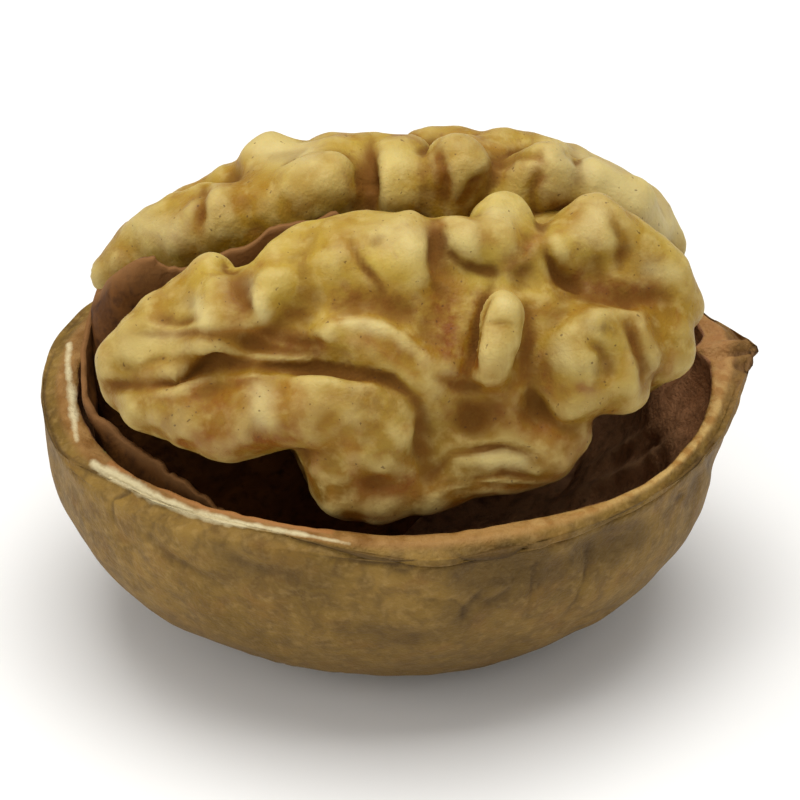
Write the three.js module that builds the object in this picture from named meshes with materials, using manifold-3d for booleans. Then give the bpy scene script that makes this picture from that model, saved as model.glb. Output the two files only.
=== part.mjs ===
// A walnut opened along its seam: one half of the shell, the whole kernel still lying in it,
// and what is left of the papery partition between the kernel's front and rear lobes.
// Millimetres, +Z up, +X towards the pointed end. The origin is the flat spot on which it rests.
import * as THREE from "three";
import { mergeVertices } from "three/addons/utils/BufferGeometryUtils.js";
import Module from "manifold-3d";

const wasm = await Module();
wasm.setup();

// The shell, measured from the middle of its rim
const STEM_END = 20.15; // to the rounded end, where the stem was
const POINT_END = 18.3; // to where the point begins
const POINT = 1.8; // how far the point stands out past that
const POINT_WIDTH = 0.2; // in radians round the rim
const POINT_LEAN = 0.5; // how far the rim behind the point is drawn in
const LEAN_AT = 0.32; // where, and over what width, in radians
const LEAN_WIDTH = 0.2;
const POINT_HEIGHT = 9; // how far down the shell the point fades out
const HALF_WIDTH = 17.1;
const DEPTH = 15.7;
const FULLNESS = 2.5; // exponent of the bowl's section: 2 is an ellipse, more is fuller
const WALL = 1.5;
const WALL_AT_POINT = 3.2;
const CORNER_WIDTH = 0.3; // in radians, of the thick wall at the point
const RIM_WAVE = 0.25; // how much the rim's height waves
const RIM_RISE = 0.3; // how far it rises to the point
const FRONT_DIP = 0.5; // and dips at the front
const FRONT_DIP_WIDTH = 0.4;
const RIM_FADE = 5; // how far below the rim its waves fade out
const FLAT_SPOT = 0.15; // how much the flat spot takes off the round bottom
const BEAD = 0.5; // how far the seam's bead stands out of the wall
const BEAD_AT_POINT = 0.35; // and how much more near the point
const BEAD_HEIGHT = 1.3;
const BEAD_EDGE = 0.3; // height of the bead's rounded edges
const INNER_EDGE = 0.25; // how much the rim's inner edge is broken off
const BELLY = 0.65; // how far the ends stand out below the rim
const DIMPLES = 0.2;
const CAVITY_DEPTH = DEPTH - WALL;
const RINGS = 11; // facets from the bottom to the rim
const CAVITY_RINGS = 16;
const SPOKES = 64; // and round it

// The kernel and the partition
const CLEARANCE = 0.35; // between pieces that touch
const PAPER = 0.7; // the partition's thickness
const FACET = 0.98; // size of the kernel's facets
const DEEPEST = -16; // the lowest and highest level at which the kernel is looked for
const HIGHEST = 16;
const CORE_BLEND = 2; // how softly the bodies under the folds run together
const FRONT_BLEND = 0.8; // and the front bodies into the deep ones
const LEDGE = 1; // how far above the front lobe's lower edge its bodies end
const LEDGE_BLEND = 1.2;
const UNDERCUT = 0.9; // how far above the kernel's underside the deep ones end
const UNDERCUT_BLEND = 1.2;
const FURROW_BLEND = 0.3; // how softly the furrow for the partition is cut
const WALL_BLEND = 0.5; // and the clearance to the shell
const SEPTUM = [
  [3.0, 0.2, 10.4, -9], [-1.1, 0.2, 11.0, -12.5], [-7.3, 0.2, 11.1, -13], [-10.7, 0.2, 9.7, -12],
  [-13.5, 0.2, 8.4, -10], [-16.2, 0.3, 9.1, -8], [-17.3, 1.0, 8.4, -5], [-17.6, 2.6, 5.6, -3],
];
const LINING = [
  [-17.5, 3.4, 5.2, -4], [-17.85, 0.8, 2.6, -5], [-17.8, -1.6, 1.0, -5.5], [-17.1, -4.4, 0.3, -5.5],
  [-15.7, -7.1, -0.2, -5.5], [-13.7, -9.5, -0.6, -5], [-11.3, -11.4, -1.2, -4],
];
const PALETTE = { shell: "#a98352", kernel: "#c9a75f", partition: "#4a2a1e" };

const { degToRad, smoothstep, lerp, clamp } = THREE.MathUtils;
const V = (x, y, z) => new THREE.Vector3(x, y, z);

// The shell
// 1 at the pointed end, falling away round the rim
const nearPoint = (angle, width) => Math.exp(-((Math.atan2(Math.sin(angle), Math.cos(angle)) / width) ** 2));

// The rim's outline at an angle round the nut, drawn in by `inset`, and more or less pointed
function rimOutline(angle, inset, pointed) {
  const reach = Math.cos(angle) < 0 ? STEM_END : POINT_END;
  const point = POINT * pointed * nearPoint(angle, POINT_WIDTH);
  const lean = POINT_LEAN * pointed * nearPoint(angle - LEAN_AT, LEAN_WIDTH);
  return [(reach - inset) * Math.cos(angle) + point, (HALF_WIDTH - inset) * Math.sin(angle) - lean];
}

// The share of the rim's size that a level section of the bowl has at height z
const narrowing = (z, depth) => (1 - Math.min(1, Math.abs(z) / depth) ** FULLNESS) ** (1 / FULLNESS);

// The wall's thickness at the rim: more at the pointed end, where the two halves met in a solid corner
const wallAt = (angle) => lerp(WALL, WALL_AT_POINT, nearPoint(angle, CORNER_WIDTH));

// How high the rim stands at an angle
function rimHeight(angle) {
  const wave = RIM_WAVE * Math.sin(3 * angle + 0.6);
  const dip = FRONT_DIP * Math.exp(-(((angle + Math.PI / 2) / FRONT_DIP_WIDTH) ** 2));
  return wave - dip + RIM_RISE * nearPoint(angle, CORNER_WIDTH);
}

// Shallow swellings and dents on the outside, none at the very bottom
function relief(angle, z) {
  const across = Math.sin(4 * angle + 2 * Math.sin(z / 4));
  const down = Math.sin(z / 2.6 + 2 * Math.sin(2 * angle));
  return DIMPLES * across * down * (1 + z / DEPTH);
}

// How much fuller the ends of the bowl are below the rim
const belly = (angle, z) => BELLY * Math.cos(angle) ** 2 * Math.sin((-Math.PI * z) / DEPTH);

// A lathe's rings, each bent to the nut's own outline: up the outside, over the rim, and down the inside
function shellGeometry() {
  const round = DEPTH + FLAT_SPOT;
  const first = Math.acos(DEPTH / round);
  const rings = [{ z: -DEPTH, share: 0, inset: () => 0 }];
  for (let i = 0; i < RINGS; i++) {
    const z = Math.min(-round * Math.cos(lerp(first, Math.PI / 2, i / RINGS)), -BEAD_HEIGHT);
    rings.push({ z, share: narrowing(z, round), inset: (a) => -relief(a, z) - belly(a, z) });
  }
  const bead = (a) => BEAD + BEAD_AT_POINT * nearPoint(a + 0.3, 0.4);
  rings.push({ z: BEAD_EDGE - BEAD_HEIGHT, share: 1, inset: (a) => -bead(a) });
  rings.push({ z: -BEAD_EDGE, share: 1, inset: (a) => -0.8 * bead(a) });
  rings.push({ z: 0, share: 1, inset: (a) => 0.1 - 0.3 * bead(a) });
  rings.push({ z: 0, share: 1, inset: (a) => wallAt(a) - INNER_EDGE });
  for (let i = RINGS; i >= 0; i--) {
    const drop = i === RINGS ? 1.6 * INNER_EDGE : 0;
    const z = -CAVITY_DEPTH * Math.cos((i / RINGS) * (Math.PI / 2)) - drop;
    rings.push({ z, share: narrowing(z, CAVITY_DEPTH), inset: wallAt, inside: true });
  }
  const lathe = new THREE.LatheGeometry(
    rings.map((ring) => new THREE.Vector2(ring.share, ring.z)),
    SPOKES,
  );
  const place = lathe.getAttribute("position");
  for (let spoke = 0; spoke <= SPOKES; spoke++)
    rings.forEach((ring, i) => {
      const angle = ((spoke % SPOKES) / SPOKES) * 2 * Math.PI;
      const pointed = ring.inside ? 0 : smoothstep(ring.z, -POINT_HEIGHT, 0);
      const [x, y] = rimOutline(angle, ring.inset(angle), pointed);
      const lift = rimHeight(angle) * smoothstep(ring.z, -RIM_FADE, 0);
      place.setXYZ(spoke * rings.length + i, x * ring.share, y * ring.share, ring.z + lift);
    });
  return lathe;
}

// The kernel
// The folds are drawn as they are seen from two sides. A view's right and up lie across the line of sight.
function view(azimuth, elevation, distance) {
  const [a, e] = [degToRad(azimuth), degToRad(elevation)];
  const back = V(Math.sin(a) * Math.cos(e), -Math.cos(a) * Math.cos(e), Math.sin(e));
  const right = V(Math.cos(a), Math.sin(a), 0);
  return { eye: back.clone().multiplyScalar(distance), right, up: V(0, 0, 0).crossVectors(back, right) };
}
const FROM_FRONT = view(-8, 34, 280);
const FROM_REAR = view(172, 34, 280);

// The outline that the folds of each half fill: an ellipsoid's middle and half axes
const FRONT = { middle: V(0, -5.6, 1), axes: V(17.2, 8.6, 13), seen: FROM_FRONT };
const REAR = { middle: V(0, 5.2, 1.5), axes: V(17.6, 7.8, 11.2), seen: FROM_FRONT };
const REAR_BEHIND = { ...REAR, seen: FROM_REAR };

// The point u right and v up in a view, as deep as a ball of radius r touches the outline from inside
function sight(half, u, v, r) {
  const { eye, right, up } = half.seen;
  const inner = half.axes.clone().subScalar(r);
  const start = eye.clone().sub(half.middle).divide(inner);
  const aim = right.clone().multiplyScalar(u).addScaledVector(up, v);
  const ray = aim.sub(eye).divide(inner);
  const [a, b, c] = [ray.dot(ray), ray.dot(start), start.dot(start) - 1];
  const t = (-b - Math.sqrt(Math.max(0, b * b - a * c))) / a;
  return start.addScaledVector(ray, t).multiply(inner).add(half.middle);
}

// A fold is drawn as how softly it runs into its neighbours, how far it stands proud of the outline, and a line
// of balls: [u, v, radius].
// The front lobe's, from the stem end to the point, then the long one that bends over below them
const FRONT_FOLDS = [
  [1.2, 0, [[-16.3, 0.7, 1.4], [-14.8, 1.6, 1.9], [-12.4, 2, 2], [-10.7, 2.2, 1.6]]],
  [1.2, 0, [[-13.9, 3.5, 0.9], [-12.6, 4.2, 1.2], [-11.3, 4.3, 1.2]]],
  [1.2, 0, [[-11, 5.5, 1.3], [-10.6, 4.2, 1.4], [-10.5, 3, 1.3]]],
  [1.4, 0, [[-6.8, 5.9, 1.6], [-7.2, 4.7, 1.5], [-8, 3.7, 1.1]]],
  [1.8, -0.1, [[-4.9, 6.6, 1.9], [-3.6, 6.6, 2.1], [-3.4, 5.8, 1.9]]],
  [1.8, -0.1, [[-1.6, 7, 2.1], [0.3, 6.8, 2.2], [0.2, 6, 2]]],
  [1, -0.2, [[3.1, 7.8, 1.3], [3.6, 7.5, 1.2]]],
  [1.2, 0, [[5.8, 8.4, 1.9], [5.7, 7.4, 1.6]]],
  [1, 0, [[11.4, 7.9, 2.3], [11.4, 7.5, 2.2]]],
  [1.4, -0.4, [[9.6, 7.3, 1.4], [8.5, 6.8, 1.2]]],
  [1.2, -0.4, [[-9.2, 4.6, 1.3], [-9, 3.6, 1.2]]],
  [1.2, -0.1, [[13.6, 7.1, 1.6], [15.1, 5.7, 1.7], [15.9, 4.2, 1.5]]],
  [1.2, 0.1, [[10, 0.8, 1.8], [10.2, -0.9, 2]]],
  [1.4, 0.1, [[11.3, 2.2, 1.7], [12.9, 2, 1.7]]],
  [0.9, 0.1, [[12.6, 0.6, 2.2], [12.4, -0.5, 2]]],
  [1.2, 0, [[15.3, 1.9, 1.4], [15.6, 1, 1.4]]],
  [0.4, 0.1, [[6, 3.5, 1.05], [5.7, 1.6, 1.05], [5.3, 0.1, 1]]],
  [1, -0.3, [[-15.9, -0.5, 1.2], [-14.2, -0.9, 1.4], [-12.6, -0.9, 1.4]]],
  [0.5, 0, [
    [-15.8, -1.2, 1.1], [-14.6, -2.1, 1.4], [-12.4, -2.8, 1.7],
    [-9.8, -3.1, 2.2], [-7.2, -2.6, 2.1], [-4.9, -2.2, 2.1],
  ]],
  [0.3, 0.3, [[-4.9, -2.2, 2.1], [-2.8, -2.1, 2.15], [-1, -3.1, 2.3], [-1.4, -3.8, 2.1]]],
  [0.7, 0, [[-2.4, -3.9, 2], [-3.4, -5.2, 2.2], [-3.1, -6.3, 2.3], [-1.6, -6.9, 1.6]]],
  [1.6, -0.9, [[-3.8, 2.2, 1], [-1.8, 1.8, 1.3], [0.2, 0.8, 1.4], [1.6, -0.2, 1.3]]],
  [1.8, -0.5, [[1.4, -6.6, 1.5], [4, -5.9, 1.4], [6.5, -5.6, 1.4], [8.6, -5.2, 1.2]]],
  [1.4, -1, [[3.4, -4.6, 1.2], [6.4, -4.3, 1.2], [9, -4.3, 1.1], [10.2, -3.9, 0.9]]],
];
// The rear lobe's, from the stem end to the point
const REAR_FOLDS = [
  [1.2, 0, [[-16.4, 5.7, 1.4], [-14.8, 7.4, 1.6], [-12.9, 8.5, 1.6], [-12.2, 8.8, 1.5]]],
  [0.8, 0, [[-12.7, 9.6, 0.9], [-11.4, 10.1, 0.8]]],
  [0.9, 0, [[-7.6, 11.8, 2], [-5.8, 11.2, 2.2], [-3.8, 11.4, 2.1]]],
  [1.6, -0.1, [[-10.2, 8.9, 1.7], [-7.7, 9.2, 2], [-4.6, 9.8, 2]]],
  [0.8, 0.1, [[0.2, 12, 1.9], [0.3, 10.6, 1.7]]],
  [0.8, 0.1, [[3.9, 12.2, 1.5], [4, 11.4, 1.3]]],
  [0.9, 0, [[5.6, 12.1, 1.8], [7.2, 12.1, 1.9]]],
  [1.6, -0.2, [[8.7, 10.8, 1.9], [8.9, 10.2, 1.7]]],
  [1.8, -0.1, [[10, 11, 2], [12.2, 9.8, 2.1], [13.8, 8.8, 2.1], [14.7, 7.3, 2]]],
];
// The far side's, from the point to the stem end
const FAR_FOLDS = [
  [0.8, 0, [[-14.5, 1.5, 1.6], [-13.2, 4, 1.9], [-11, 5.6, 1.9]]],
  [0.8, 0, [[-10.8, 1.2, 1.8], [-9.2, 3.2, 2], [-7.4, 2.4, 1.7]]],
  [0.8, 0, [[-8.6, 7.6, 1.9], [-6.4, 6.2, 2], [-6, 4.4, 1.6]]],
  [0.8, 0, [[-4.6, 1, 1.8], [-4, 3.2, 1.9], [-1.8, 3.6, 1.8]]],
  [0.8, 0, [[-3.4, 8.6, 2], [-2.6, 6.8, 2.1]]],
  [0.8, 0, [[0.6, 7.6, 1.9], [1.6, 5.4, 2.1], [4, 4.6, 1.9]]],
  [0.8, 0, [[0.8, 1, 1.7], [2.4, 2.2, 1.8], [5, 1.6, 1.7]]],
  [0.8, 0, [[4.4, 8.6, 1.9], [6.6, 7.2, 2], [7.6, 5, 1.8]]],
  [0.8, 0, [[8.2, 1.6, 1.8], [10, 3, 1.9], [12.4, 2.2, 1.7]]],
  [0.8, 0, [[10.6, 6.8, 1.8], [12.4, 5.4, 1.8], [14.2, 3.6, 1.6]]],
  [0.8, 0, [[15.4, 1.2, 1.4], [15.8, 2.6, 1.3]]],
];

const placed = (half, folds) =>
  folds.map(([soft, proud, balls]) => ({
    soft,
    balls: balls.map(([u, v, r]) => ({ at: sight(half, u, v, r - proud), r })),
  }));
const FOLDS = [...placed(FRONT, FRONT_FOLDS), ...placed(REAR, REAR_FOLDS), ...placed(REAR_BEHIND, FAR_FOLDS)];

// Bodies that fill the kernel under its folds: middle and half axes
const FRONT_CORES = [
  [V(0, -5.6, 1), V(15.4, 6.9, 10.7)],
  [V(9, 0, 2), V(6, 4, 7.5)],
  [V(11.5, -4, 5.2), V(4.4, 4.4, 5)],
];
const DEEP_CORES = [
  [V(5.2, -6.6, -1.5), V(6.6, 6.9, 7.3)],
  [V(0, 5.2, 1.5), V(16.2, 6.5, 9.8)],
  [V(1, 3.2, -4.5), V(14.5, 11, 10.2)],
];

// Lower outlines in the front view, as [u, v]: the front lobe's, which overhangs, and the whole kernel's
const OVERHANG = [
  [-19, 2.5], [-17.2, 0.2], [-16, -2], [-14.8, -3.5], [-12.5, -4.4], [-9.7, -5.3], [-6.6, -4.3], [-5.2, -7],
  [-4, -8.4], [-1, -8], [0.4, -5], [2.2, -1.6], [5, -1.8], [7.5, -2], [8.4, -2.6], [10.2, -3.2], [12, -2.8],
  [14, -2.3], [15.5, -1.4], [17, 0.8], [19, 5],
];
const UNDERSIDE = [
  [-19, 2.5], [-17.2, 0.2], [-16, -2], [-14.8, -3.5], [-12.5, -4.4], [-9.7, -5.3], [-6.6, -4.3], [-5.2, -7],
  [-4, -8.4], [-2, -9], [2.4, -8.5], [5.6, -7.4], [8.3, -7], [9.7, -6], [10.6, -4.6], [10.9, -2.9],
  [13, -2.3], [15.3, -1.2], [17, 0.8], [19, 5],
];

// Where p appears in the front view
function seenAt(p) {
  const { eye, right, up } = FROM_FRONT;
  const nearer = 1 / (1 - p.dot(eye) / eye.lengthSq());
  return [p.dot(right) * nearer, p.dot(up) * nearer];
}

// The height of an outline at u
function heightAt(outline, u) {
  const next = Math.max(1, outline.findIndex(([at]) => at > u));
  const [[u0, v0], [u1, v1]] = [outline[next - 1], outline[next]];
  return lerp(v0, v1, (u - u0) / (u1 - u0));
}

// Roughly the distance from an ellipsoid
function ellipsoid(p, [middle, axes]) {
  const q = p.clone().sub(middle);
  const k = q.clone().divide(axes).length();
  const slope = q.clone().divide(axes).divide(axes).length();
  return slope > 0 ? (k * (k - 1)) / slope : -axes.x;
}

// Distance to a chain of balls of changing radius
function chain(p, balls) {
  let best = Infinity;
  for (let i = 0; i + 1 < balls.length; i++) {
    const [a, b] = [balls[i], balls[i + 1]];
    const along = b.at.clone().sub(a.at);
    const t = clamp(p.clone().sub(a.at).dot(along) / along.lengthSq(), 0, 1);
    best = Math.min(best, p.distanceTo(a.at.clone().addScaledVector(along, t)) - lerp(a.r, b.r, t));
  }
  return best;
}

// The smaller of two distances, rounded off where they meet within k; and the larger, likewise
const join = (a, b, k) => Math.min(a, b) - Math.max(k - Math.abs(a - b), 0) ** 2 / (4 * k);
const cut = (a, b, k) => -join(-a, -b, k);

// How far p is outside the shell's cavity; above the rim the kernel may bulge over the wall
function outsideCavity(p) {
  const angle = Math.atan2(p.y / HALF_WIDTH, p.x / STEM_END);
  const share = Math.hypot(p.x, p.y) / Math.hypot(...rimOutline(angle, wallAt(angle), 0));
  const fall = Math.max(0, -p.z) / CAVITY_DEPTH;
  const depth = ((share ** FULLNESS + fall ** FULLNESS) ** (1 / FULLNESS) - 1) * CAVITY_DEPTH;
  return depth - 0.8 * Math.max(0, p.z + 1);
}

// The distance on the ground from the septum's line
function fromSeptum(x, y) {
  let best = Infinity;
  for (let i = 0; i + 1 < SEPTUM.length; i++) {
    const [[ax, ay], [bx, by]] = [SEPTUM[i], SEPTUM[i + 1]];
    const t = clamp(((x - ax) * (bx - ax) + (y - ay) * (by - ay)) / ((bx - ax) ** 2 + (by - ay) ** 2), 0, 1);
    best = Math.min(best, Math.hypot(x - lerp(ax, bx, t), y - lerp(ay, by, t)));
  }
  return best;
}

const bodies = (p, cores) => cores.reduce((sum, core) => join(sum, ellipsoid(p, core), CORE_BLEND), Infinity);

// Negative inside the kernel
function kernelField(p) {
  const [u, v] = seenAt(p);
  const front = cut(bodies(p, FRONT_CORES), heightAt(OVERHANG, u) + LEDGE - v, LEDGE_BLEND);
  const deep = cut(bodies(p, DEEP_CORES), heightAt(UNDERSIDE, u) + UNDERCUT - v, UNDERCUT_BLEND);
  let field = join(front, deep, FRONT_BLEND);
  for (const { soft, balls } of FOLDS) field = join(field, chain(p, balls), soft);
  const lean = Math.max(0.1, narrowing(p.z, CAVITY_DEPTH));
  const furrow = PAPER / 2 + CLEARANCE + 0.1;
  field = cut(field, furrow - fromSeptum(p.x / lean, p.y / lean) * lean, FURROW_BLEND);
  const gap = lerp(CLEARANCE, PAPER + 2 * CLEARANCE, smoothstep(p.z, -10, -7));
  return cut(field, outsideCavity(p) + gap, WALL_BLEND);
}

// A grid cell's corners, numbered by the bits of 0 to 7, and its edges, squares and diagonals by those numbers
const STEPS = [[1, 0, 0], [0, 1, 0], [0, 0, 1]];
const CORNERS = [0, 1, 2, 3, 4, 5, 6, 7].map((c) => [c & 1, (c >> 1) & 1, c >> 2]);
const EDGES = CORNERS.flatMap((_, a) => [1, 2, 4].filter((bit) => !(a & bit)).map((bit) => [a, a | bit]));
const SQUARES = [[0, 1, 3, 2], [0, 2, 6, 4], [0, 4, 5, 1]];
const DIAGONALS = [[0, 7, 4], [1, 6, 5], [2, 5, 6], [4, 3, 0]];

// The surface where a field is zero, by surface nets: one vertex in each cell that it crosses
function surfaceOf(field, reach, levels, step) {
  const low = V(-reach.x, -reach.y, 0);
  const n = V(Math.ceil((2 * reach.x) / step) + 1, Math.ceil((2 * reach.y) / step) + 1, levels.length);
  const index = (i, j, k) => (k * n.y + j) * n.x + i;
  const values = new Float32Array(n.x * n.y * n.z);
  const p = V(0, 0, 0);
  for (let k = 0; k < n.z; k++)
    for (let j = 0; j < n.y; j++)
      for (let i = 0; i < n.x; i++)
        values[index(i, j, k)] = field(p.set(low.x + i * step, low.y + j * step, levels[k]));
  fillTouchingCorners(values, n, index, step);
  const vertexOf = new Int32Array(values.length).fill(-1);
  const positions = [];
  for (let k = 0; k < n.z - 1; k++)
    for (let j = 0; j < n.y - 1; j++)
      for (let i = 0; i < n.x - 1; i++) {
        const corner = CORNERS.map(([x, y, z]) => values[index(i + x, j + y, k + z)]);
        const sum = V(0, 0, 0);
        let crossings = 0;
        for (const [a, b] of EDGES)
          if (corner[a] < 0 !== corner[b] < 0) {
            const t = corner[a] / (corner[a] - corner[b]);
            sum.add(V(...CORNERS[a]).lerp(V(...CORNERS[b]), t));
            crossings++;
          }
        if (!crossings) continue;
        vertexOf[index(i, j, k)] = positions.length / 3;
        sum.divideScalar(crossings);
        positions.push(low.x + (i + sum.x) * step, low.y + (j + sum.y) * step);
        positions.push(lerp(levels[k], levels[k + 1], sum.z));
      }
  // Each grid edge that crosses the surface is shared by four cells, whose vertices make a square.
  const faces = [];
  for (let k = 1; k < n.z - 1; k++)
    for (let j = 1; j < n.y - 1; j++)
      for (let i = 1; i < n.x - 1; i++)
        STEPS.forEach((along, axis) => {
          const inside = values[index(i, j, k)] < 0;
          if (inside === values[index(i + along[0], j + along[1], k + along[2])] < 0) return;
          const [s, t] = [STEPS[(axis + 1) % 3], STEPS[(axis + 2) % 3]];
          const square = [[0, 0], [1, 0], [1, 1], [0, 1]].map(([x, y]) =>
            vertexOf[index(i - x * s[0] - y * t[0], j - x * s[1] - y * t[1], k - x * s[2] - y * t[2])]);
          if (!inside) square.reverse();
          const [a, b, c, d] = square;
          faces.push(a, b, c, a, c, d);
        });
  return new THREE.BufferGeometry()
    .setAttribute("position", new THREE.Float32BufferAttribute(positions, 3))
    .setIndex(faces);
}

// Where solid grid points touch only across a square's or a cell's diagonal, one more point is filled,
// so that no edge of the surface has more than two faces.
function fillTouchingCorners(values, n, index, step) {
  const solid = ([i, j, k]) => values[index(i, j, k)] < 0;
  const fill = ([i, j, k]) => {
    values[index(i, j, k)] = -0.05 * step;
    filled = true;
  };
  let filled = true;
  while (filled) {
    filled = false;
    for (let k = 0; k < n.z - 1; k++)
      for (let j = 0; j < n.y - 1; j++)
        for (let i = 0; i < n.x - 1; i++) {
          const cell = CORNERS.map(([x, y, z]) => [i + x, j + y, k + z]);
          for (const [a, b, c, d] of SQUARES) {
            const [A, B, C, D] = [a, b, c, d].map((corner) => solid(cell[corner]));
            if (A === C && B === D && A !== B) fill(cell[A ? b : a]);
          }
          for (const [a, b, between] of DIAGONALS) {
            const A = solid(cell[a]);
            const same = cell.filter((corner) => solid(corner) === A).length;
            if (A === solid(cell[b]) && same === 2) fill(cell[A ? between : a]);
          }
        }
  }
}

// The partition
// A sheet through points [x, y, top, bottom], as it would stand at the rim. Above and below the rim it leans in
// with the nut's inside.
function sheetGeometry(points, rows, columns, thickness) {
  const through = (places) => new THREE.CatmullRomCurve3(places, false, "centripetal");
  const path = through(points.map(([x, y]) => V(x, y, 0)));
  const heights = through(points.map(([, , top, bottom]) => V(top, bottom, 0)));
  const positions = [];
  for (const side of [0.5, -0.5])
    for (let c = 0; c <= columns; c++) {
      const t = c / columns;
      const at = path.getPoint(t);
      const along = path.getTangent(t);
      const [top, bottom] = heights.getPoint(t).toArray();
      for (let r = 0; r <= rows; r++) {
        const z = lerp(bottom, top, r / rows);
        const lean = narrowing(z, CAVITY_DEPTH);
        const [x, y] = [at.x * lean, at.y * lean];
        positions.push(x - along.y * side * thickness, y + along.x * side * thickness, z);
      }
    }
  const at = (side, c, r) => (side * (columns + 1) + c) * (rows + 1) + r;
  const faces = [];
  const square = (a, b, c, d) => faces.push(a, b, c, a, c, d);
  for (let c = 0; c < columns; c++) {
    for (let r = 0; r < rows; r++) {
      square(at(0, c, r), at(0, c, r + 1), at(0, c + 1, r + 1), at(0, c + 1, r));
      square(at(1, c, r), at(1, c + 1, r), at(1, c + 1, r + 1), at(1, c, r + 1));
    }
    square(at(0, c, 0), at(0, c + 1, 0), at(1, c + 1, 0), at(1, c, 0));
    square(at(0, c, rows), at(1, c, rows), at(1, c + 1, rows), at(0, c + 1, rows));
  }
  for (let r = 0; r < rows; r++) {
    square(at(0, 0, r), at(1, 0, r), at(1, 0, r + 1), at(0, 0, r + 1));
    square(at(0, columns, r), at(0, columns, r + 1), at(1, columns, r + 1), at(1, columns, r));
  }
  return new THREE.BufferGeometry()
    .setAttribute("position", new THREE.Float32BufferAttribute(positions, 3))
    .setIndex(faces);
}

// Solids
const solidFrom = (geometry) => {
  const bare = geometry.clone();
  bare.deleteAttribute("normal");
  bare.deleteAttribute("uv");
  const merged = mergeVertices(bare, 1e-4);
  return new wasm.Manifold(
    new wasm.Mesh({
      numProp: 3,
      vertProperties: merged.attributes.position.array,
      triVerts: new Uint32Array(merged.index.array),
    }),
  );
};

function geometryFrom(solid) {
  const mesh = solid.getMesh();
  return new THREE.BufferGeometry()
    .setAttribute("position", new THREE.BufferAttribute(mesh.vertProperties, 3))
    .setIndex(new THREE.BufferAttribute(mesh.triVerts, 1));
}

// The space inside the shell, `gap` short of its wall, and going on straight up above the rim
function cavityGeometry(gap) {
  const rings = [];
  for (let i = 0; i <= CAVITY_RINGS; i++) {
    const z = (gap - CAVITY_DEPTH) * Math.cos((i / CAVITY_RINGS) * (Math.PI / 2));
    rings.push([narrowing(z, CAVITY_DEPTH - gap), z]);
  }
  rings.push([1, HIGHEST], [0, HIGHEST]);
  const lathe = new THREE.LatheGeometry(rings.map((ring) => new THREE.Vector2(...ring)), SPOKES);
  const place = lathe.getAttribute("position");
  for (let spoke = 0; spoke <= SPOKES; spoke++)
    rings.forEach(([share, z], i) => {
      const angle = ((spoke % SPOKES) / SPOKES) * 2 * Math.PI;
      const [x, y] = rimOutline(angle, wallAt(angle) + gap, 0);
      place.setXYZ(spoke * rings.length + i, x * share, y * share, z);
    });
  return lathe;
}

const largestOf = (solid) => solid.decompose().sort((a, b) => b.volume() - a.volume())[0];

function partitionGeometry() {
  const septum = solidFrom(sheetGeometry(SEPTUM, 8, 24, PAPER));
  const lining = solidFrom(sheetGeometry(LINING, 4, 16, PAPER));
  return geometryFrom(largestOf(septum.add(lining).intersect(solidFrom(cavityGeometry(CLEARANCE)))));
}

// The kernel's levels are one facet apart above the rim, and two below it, where the shell hides them.
function kernelGeometry() {
  const levels = [];
  for (let z = DEEPEST; z < HIGHEST; z += z < -3 ? 2 * FACET : FACET) levels.push(z);
  return geometryFrom(largestOf(solidFrom(surfaceOf(kernelField, V(20, 16, 0), levels, FACET))));
}

function piece(name, geometry, roughness) {
  geometry.computeVertexNormals();
  const mesh = new THREE.Mesh(
    geometry,
    new THREE.MeshStandardMaterial({ color: PALETTE[name], roughness, metalness: 0, flatShading: true }),
  );
  mesh.name = name;
  return mesh;
}

const nut = new THREE.Group();
nut.position.z = DEPTH;
nut.add(piece("shell", shellGeometry(), 0.7));
nut.add(piece("kernel", kernelGeometry(), 0.5));
nut.add(piece("partition", partitionGeometry(), 0.8));

export default nut;
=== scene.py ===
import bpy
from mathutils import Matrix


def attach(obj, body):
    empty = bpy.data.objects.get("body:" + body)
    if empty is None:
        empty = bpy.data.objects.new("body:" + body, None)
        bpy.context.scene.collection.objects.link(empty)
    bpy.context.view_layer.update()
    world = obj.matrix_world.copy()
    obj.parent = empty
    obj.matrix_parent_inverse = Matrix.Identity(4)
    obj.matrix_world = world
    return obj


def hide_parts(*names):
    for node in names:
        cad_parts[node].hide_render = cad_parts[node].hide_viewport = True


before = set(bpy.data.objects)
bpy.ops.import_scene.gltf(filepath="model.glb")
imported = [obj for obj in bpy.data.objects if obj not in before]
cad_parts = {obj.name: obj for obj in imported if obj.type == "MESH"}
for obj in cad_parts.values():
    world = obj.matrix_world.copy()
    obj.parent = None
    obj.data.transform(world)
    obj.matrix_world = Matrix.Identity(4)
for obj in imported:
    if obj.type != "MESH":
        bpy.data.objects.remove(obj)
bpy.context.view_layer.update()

# %% [markdown]
# # A walnut opened along its seam
#
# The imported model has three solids: half a shell, the kernel that lies in it, and the brown papery partition
# between the kernel's lobes. They are right in size and place, but their facets are a millimetre wide. This
# notebook makes each of them again from the same measurements with facets a quarter of that, adds the small
# relief, and gives each its finish. All shapes are worked out in millimetres, measured from the middle of the
# rim, and `in_frame` takes them to metres above the flat spot that the shell rests on. X runs along the nut to
# its pointed end, Y to the lobe at the back, and Z up.

# %% Units and the line of sight
import math

import bpy
import numpy as np
from mathutils import Matrix, Vector

MM = 0.001
RIM = 15.7  # the rim's height above the flat spot, mm


def in_frame(points):
    """Points in mm from the rim's middle, as metres in the model's frame: raised by the rim's height and scaled."""
    return ((points + np.array([0, 0, RIM])) * MM).astype(np.float32)


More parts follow.
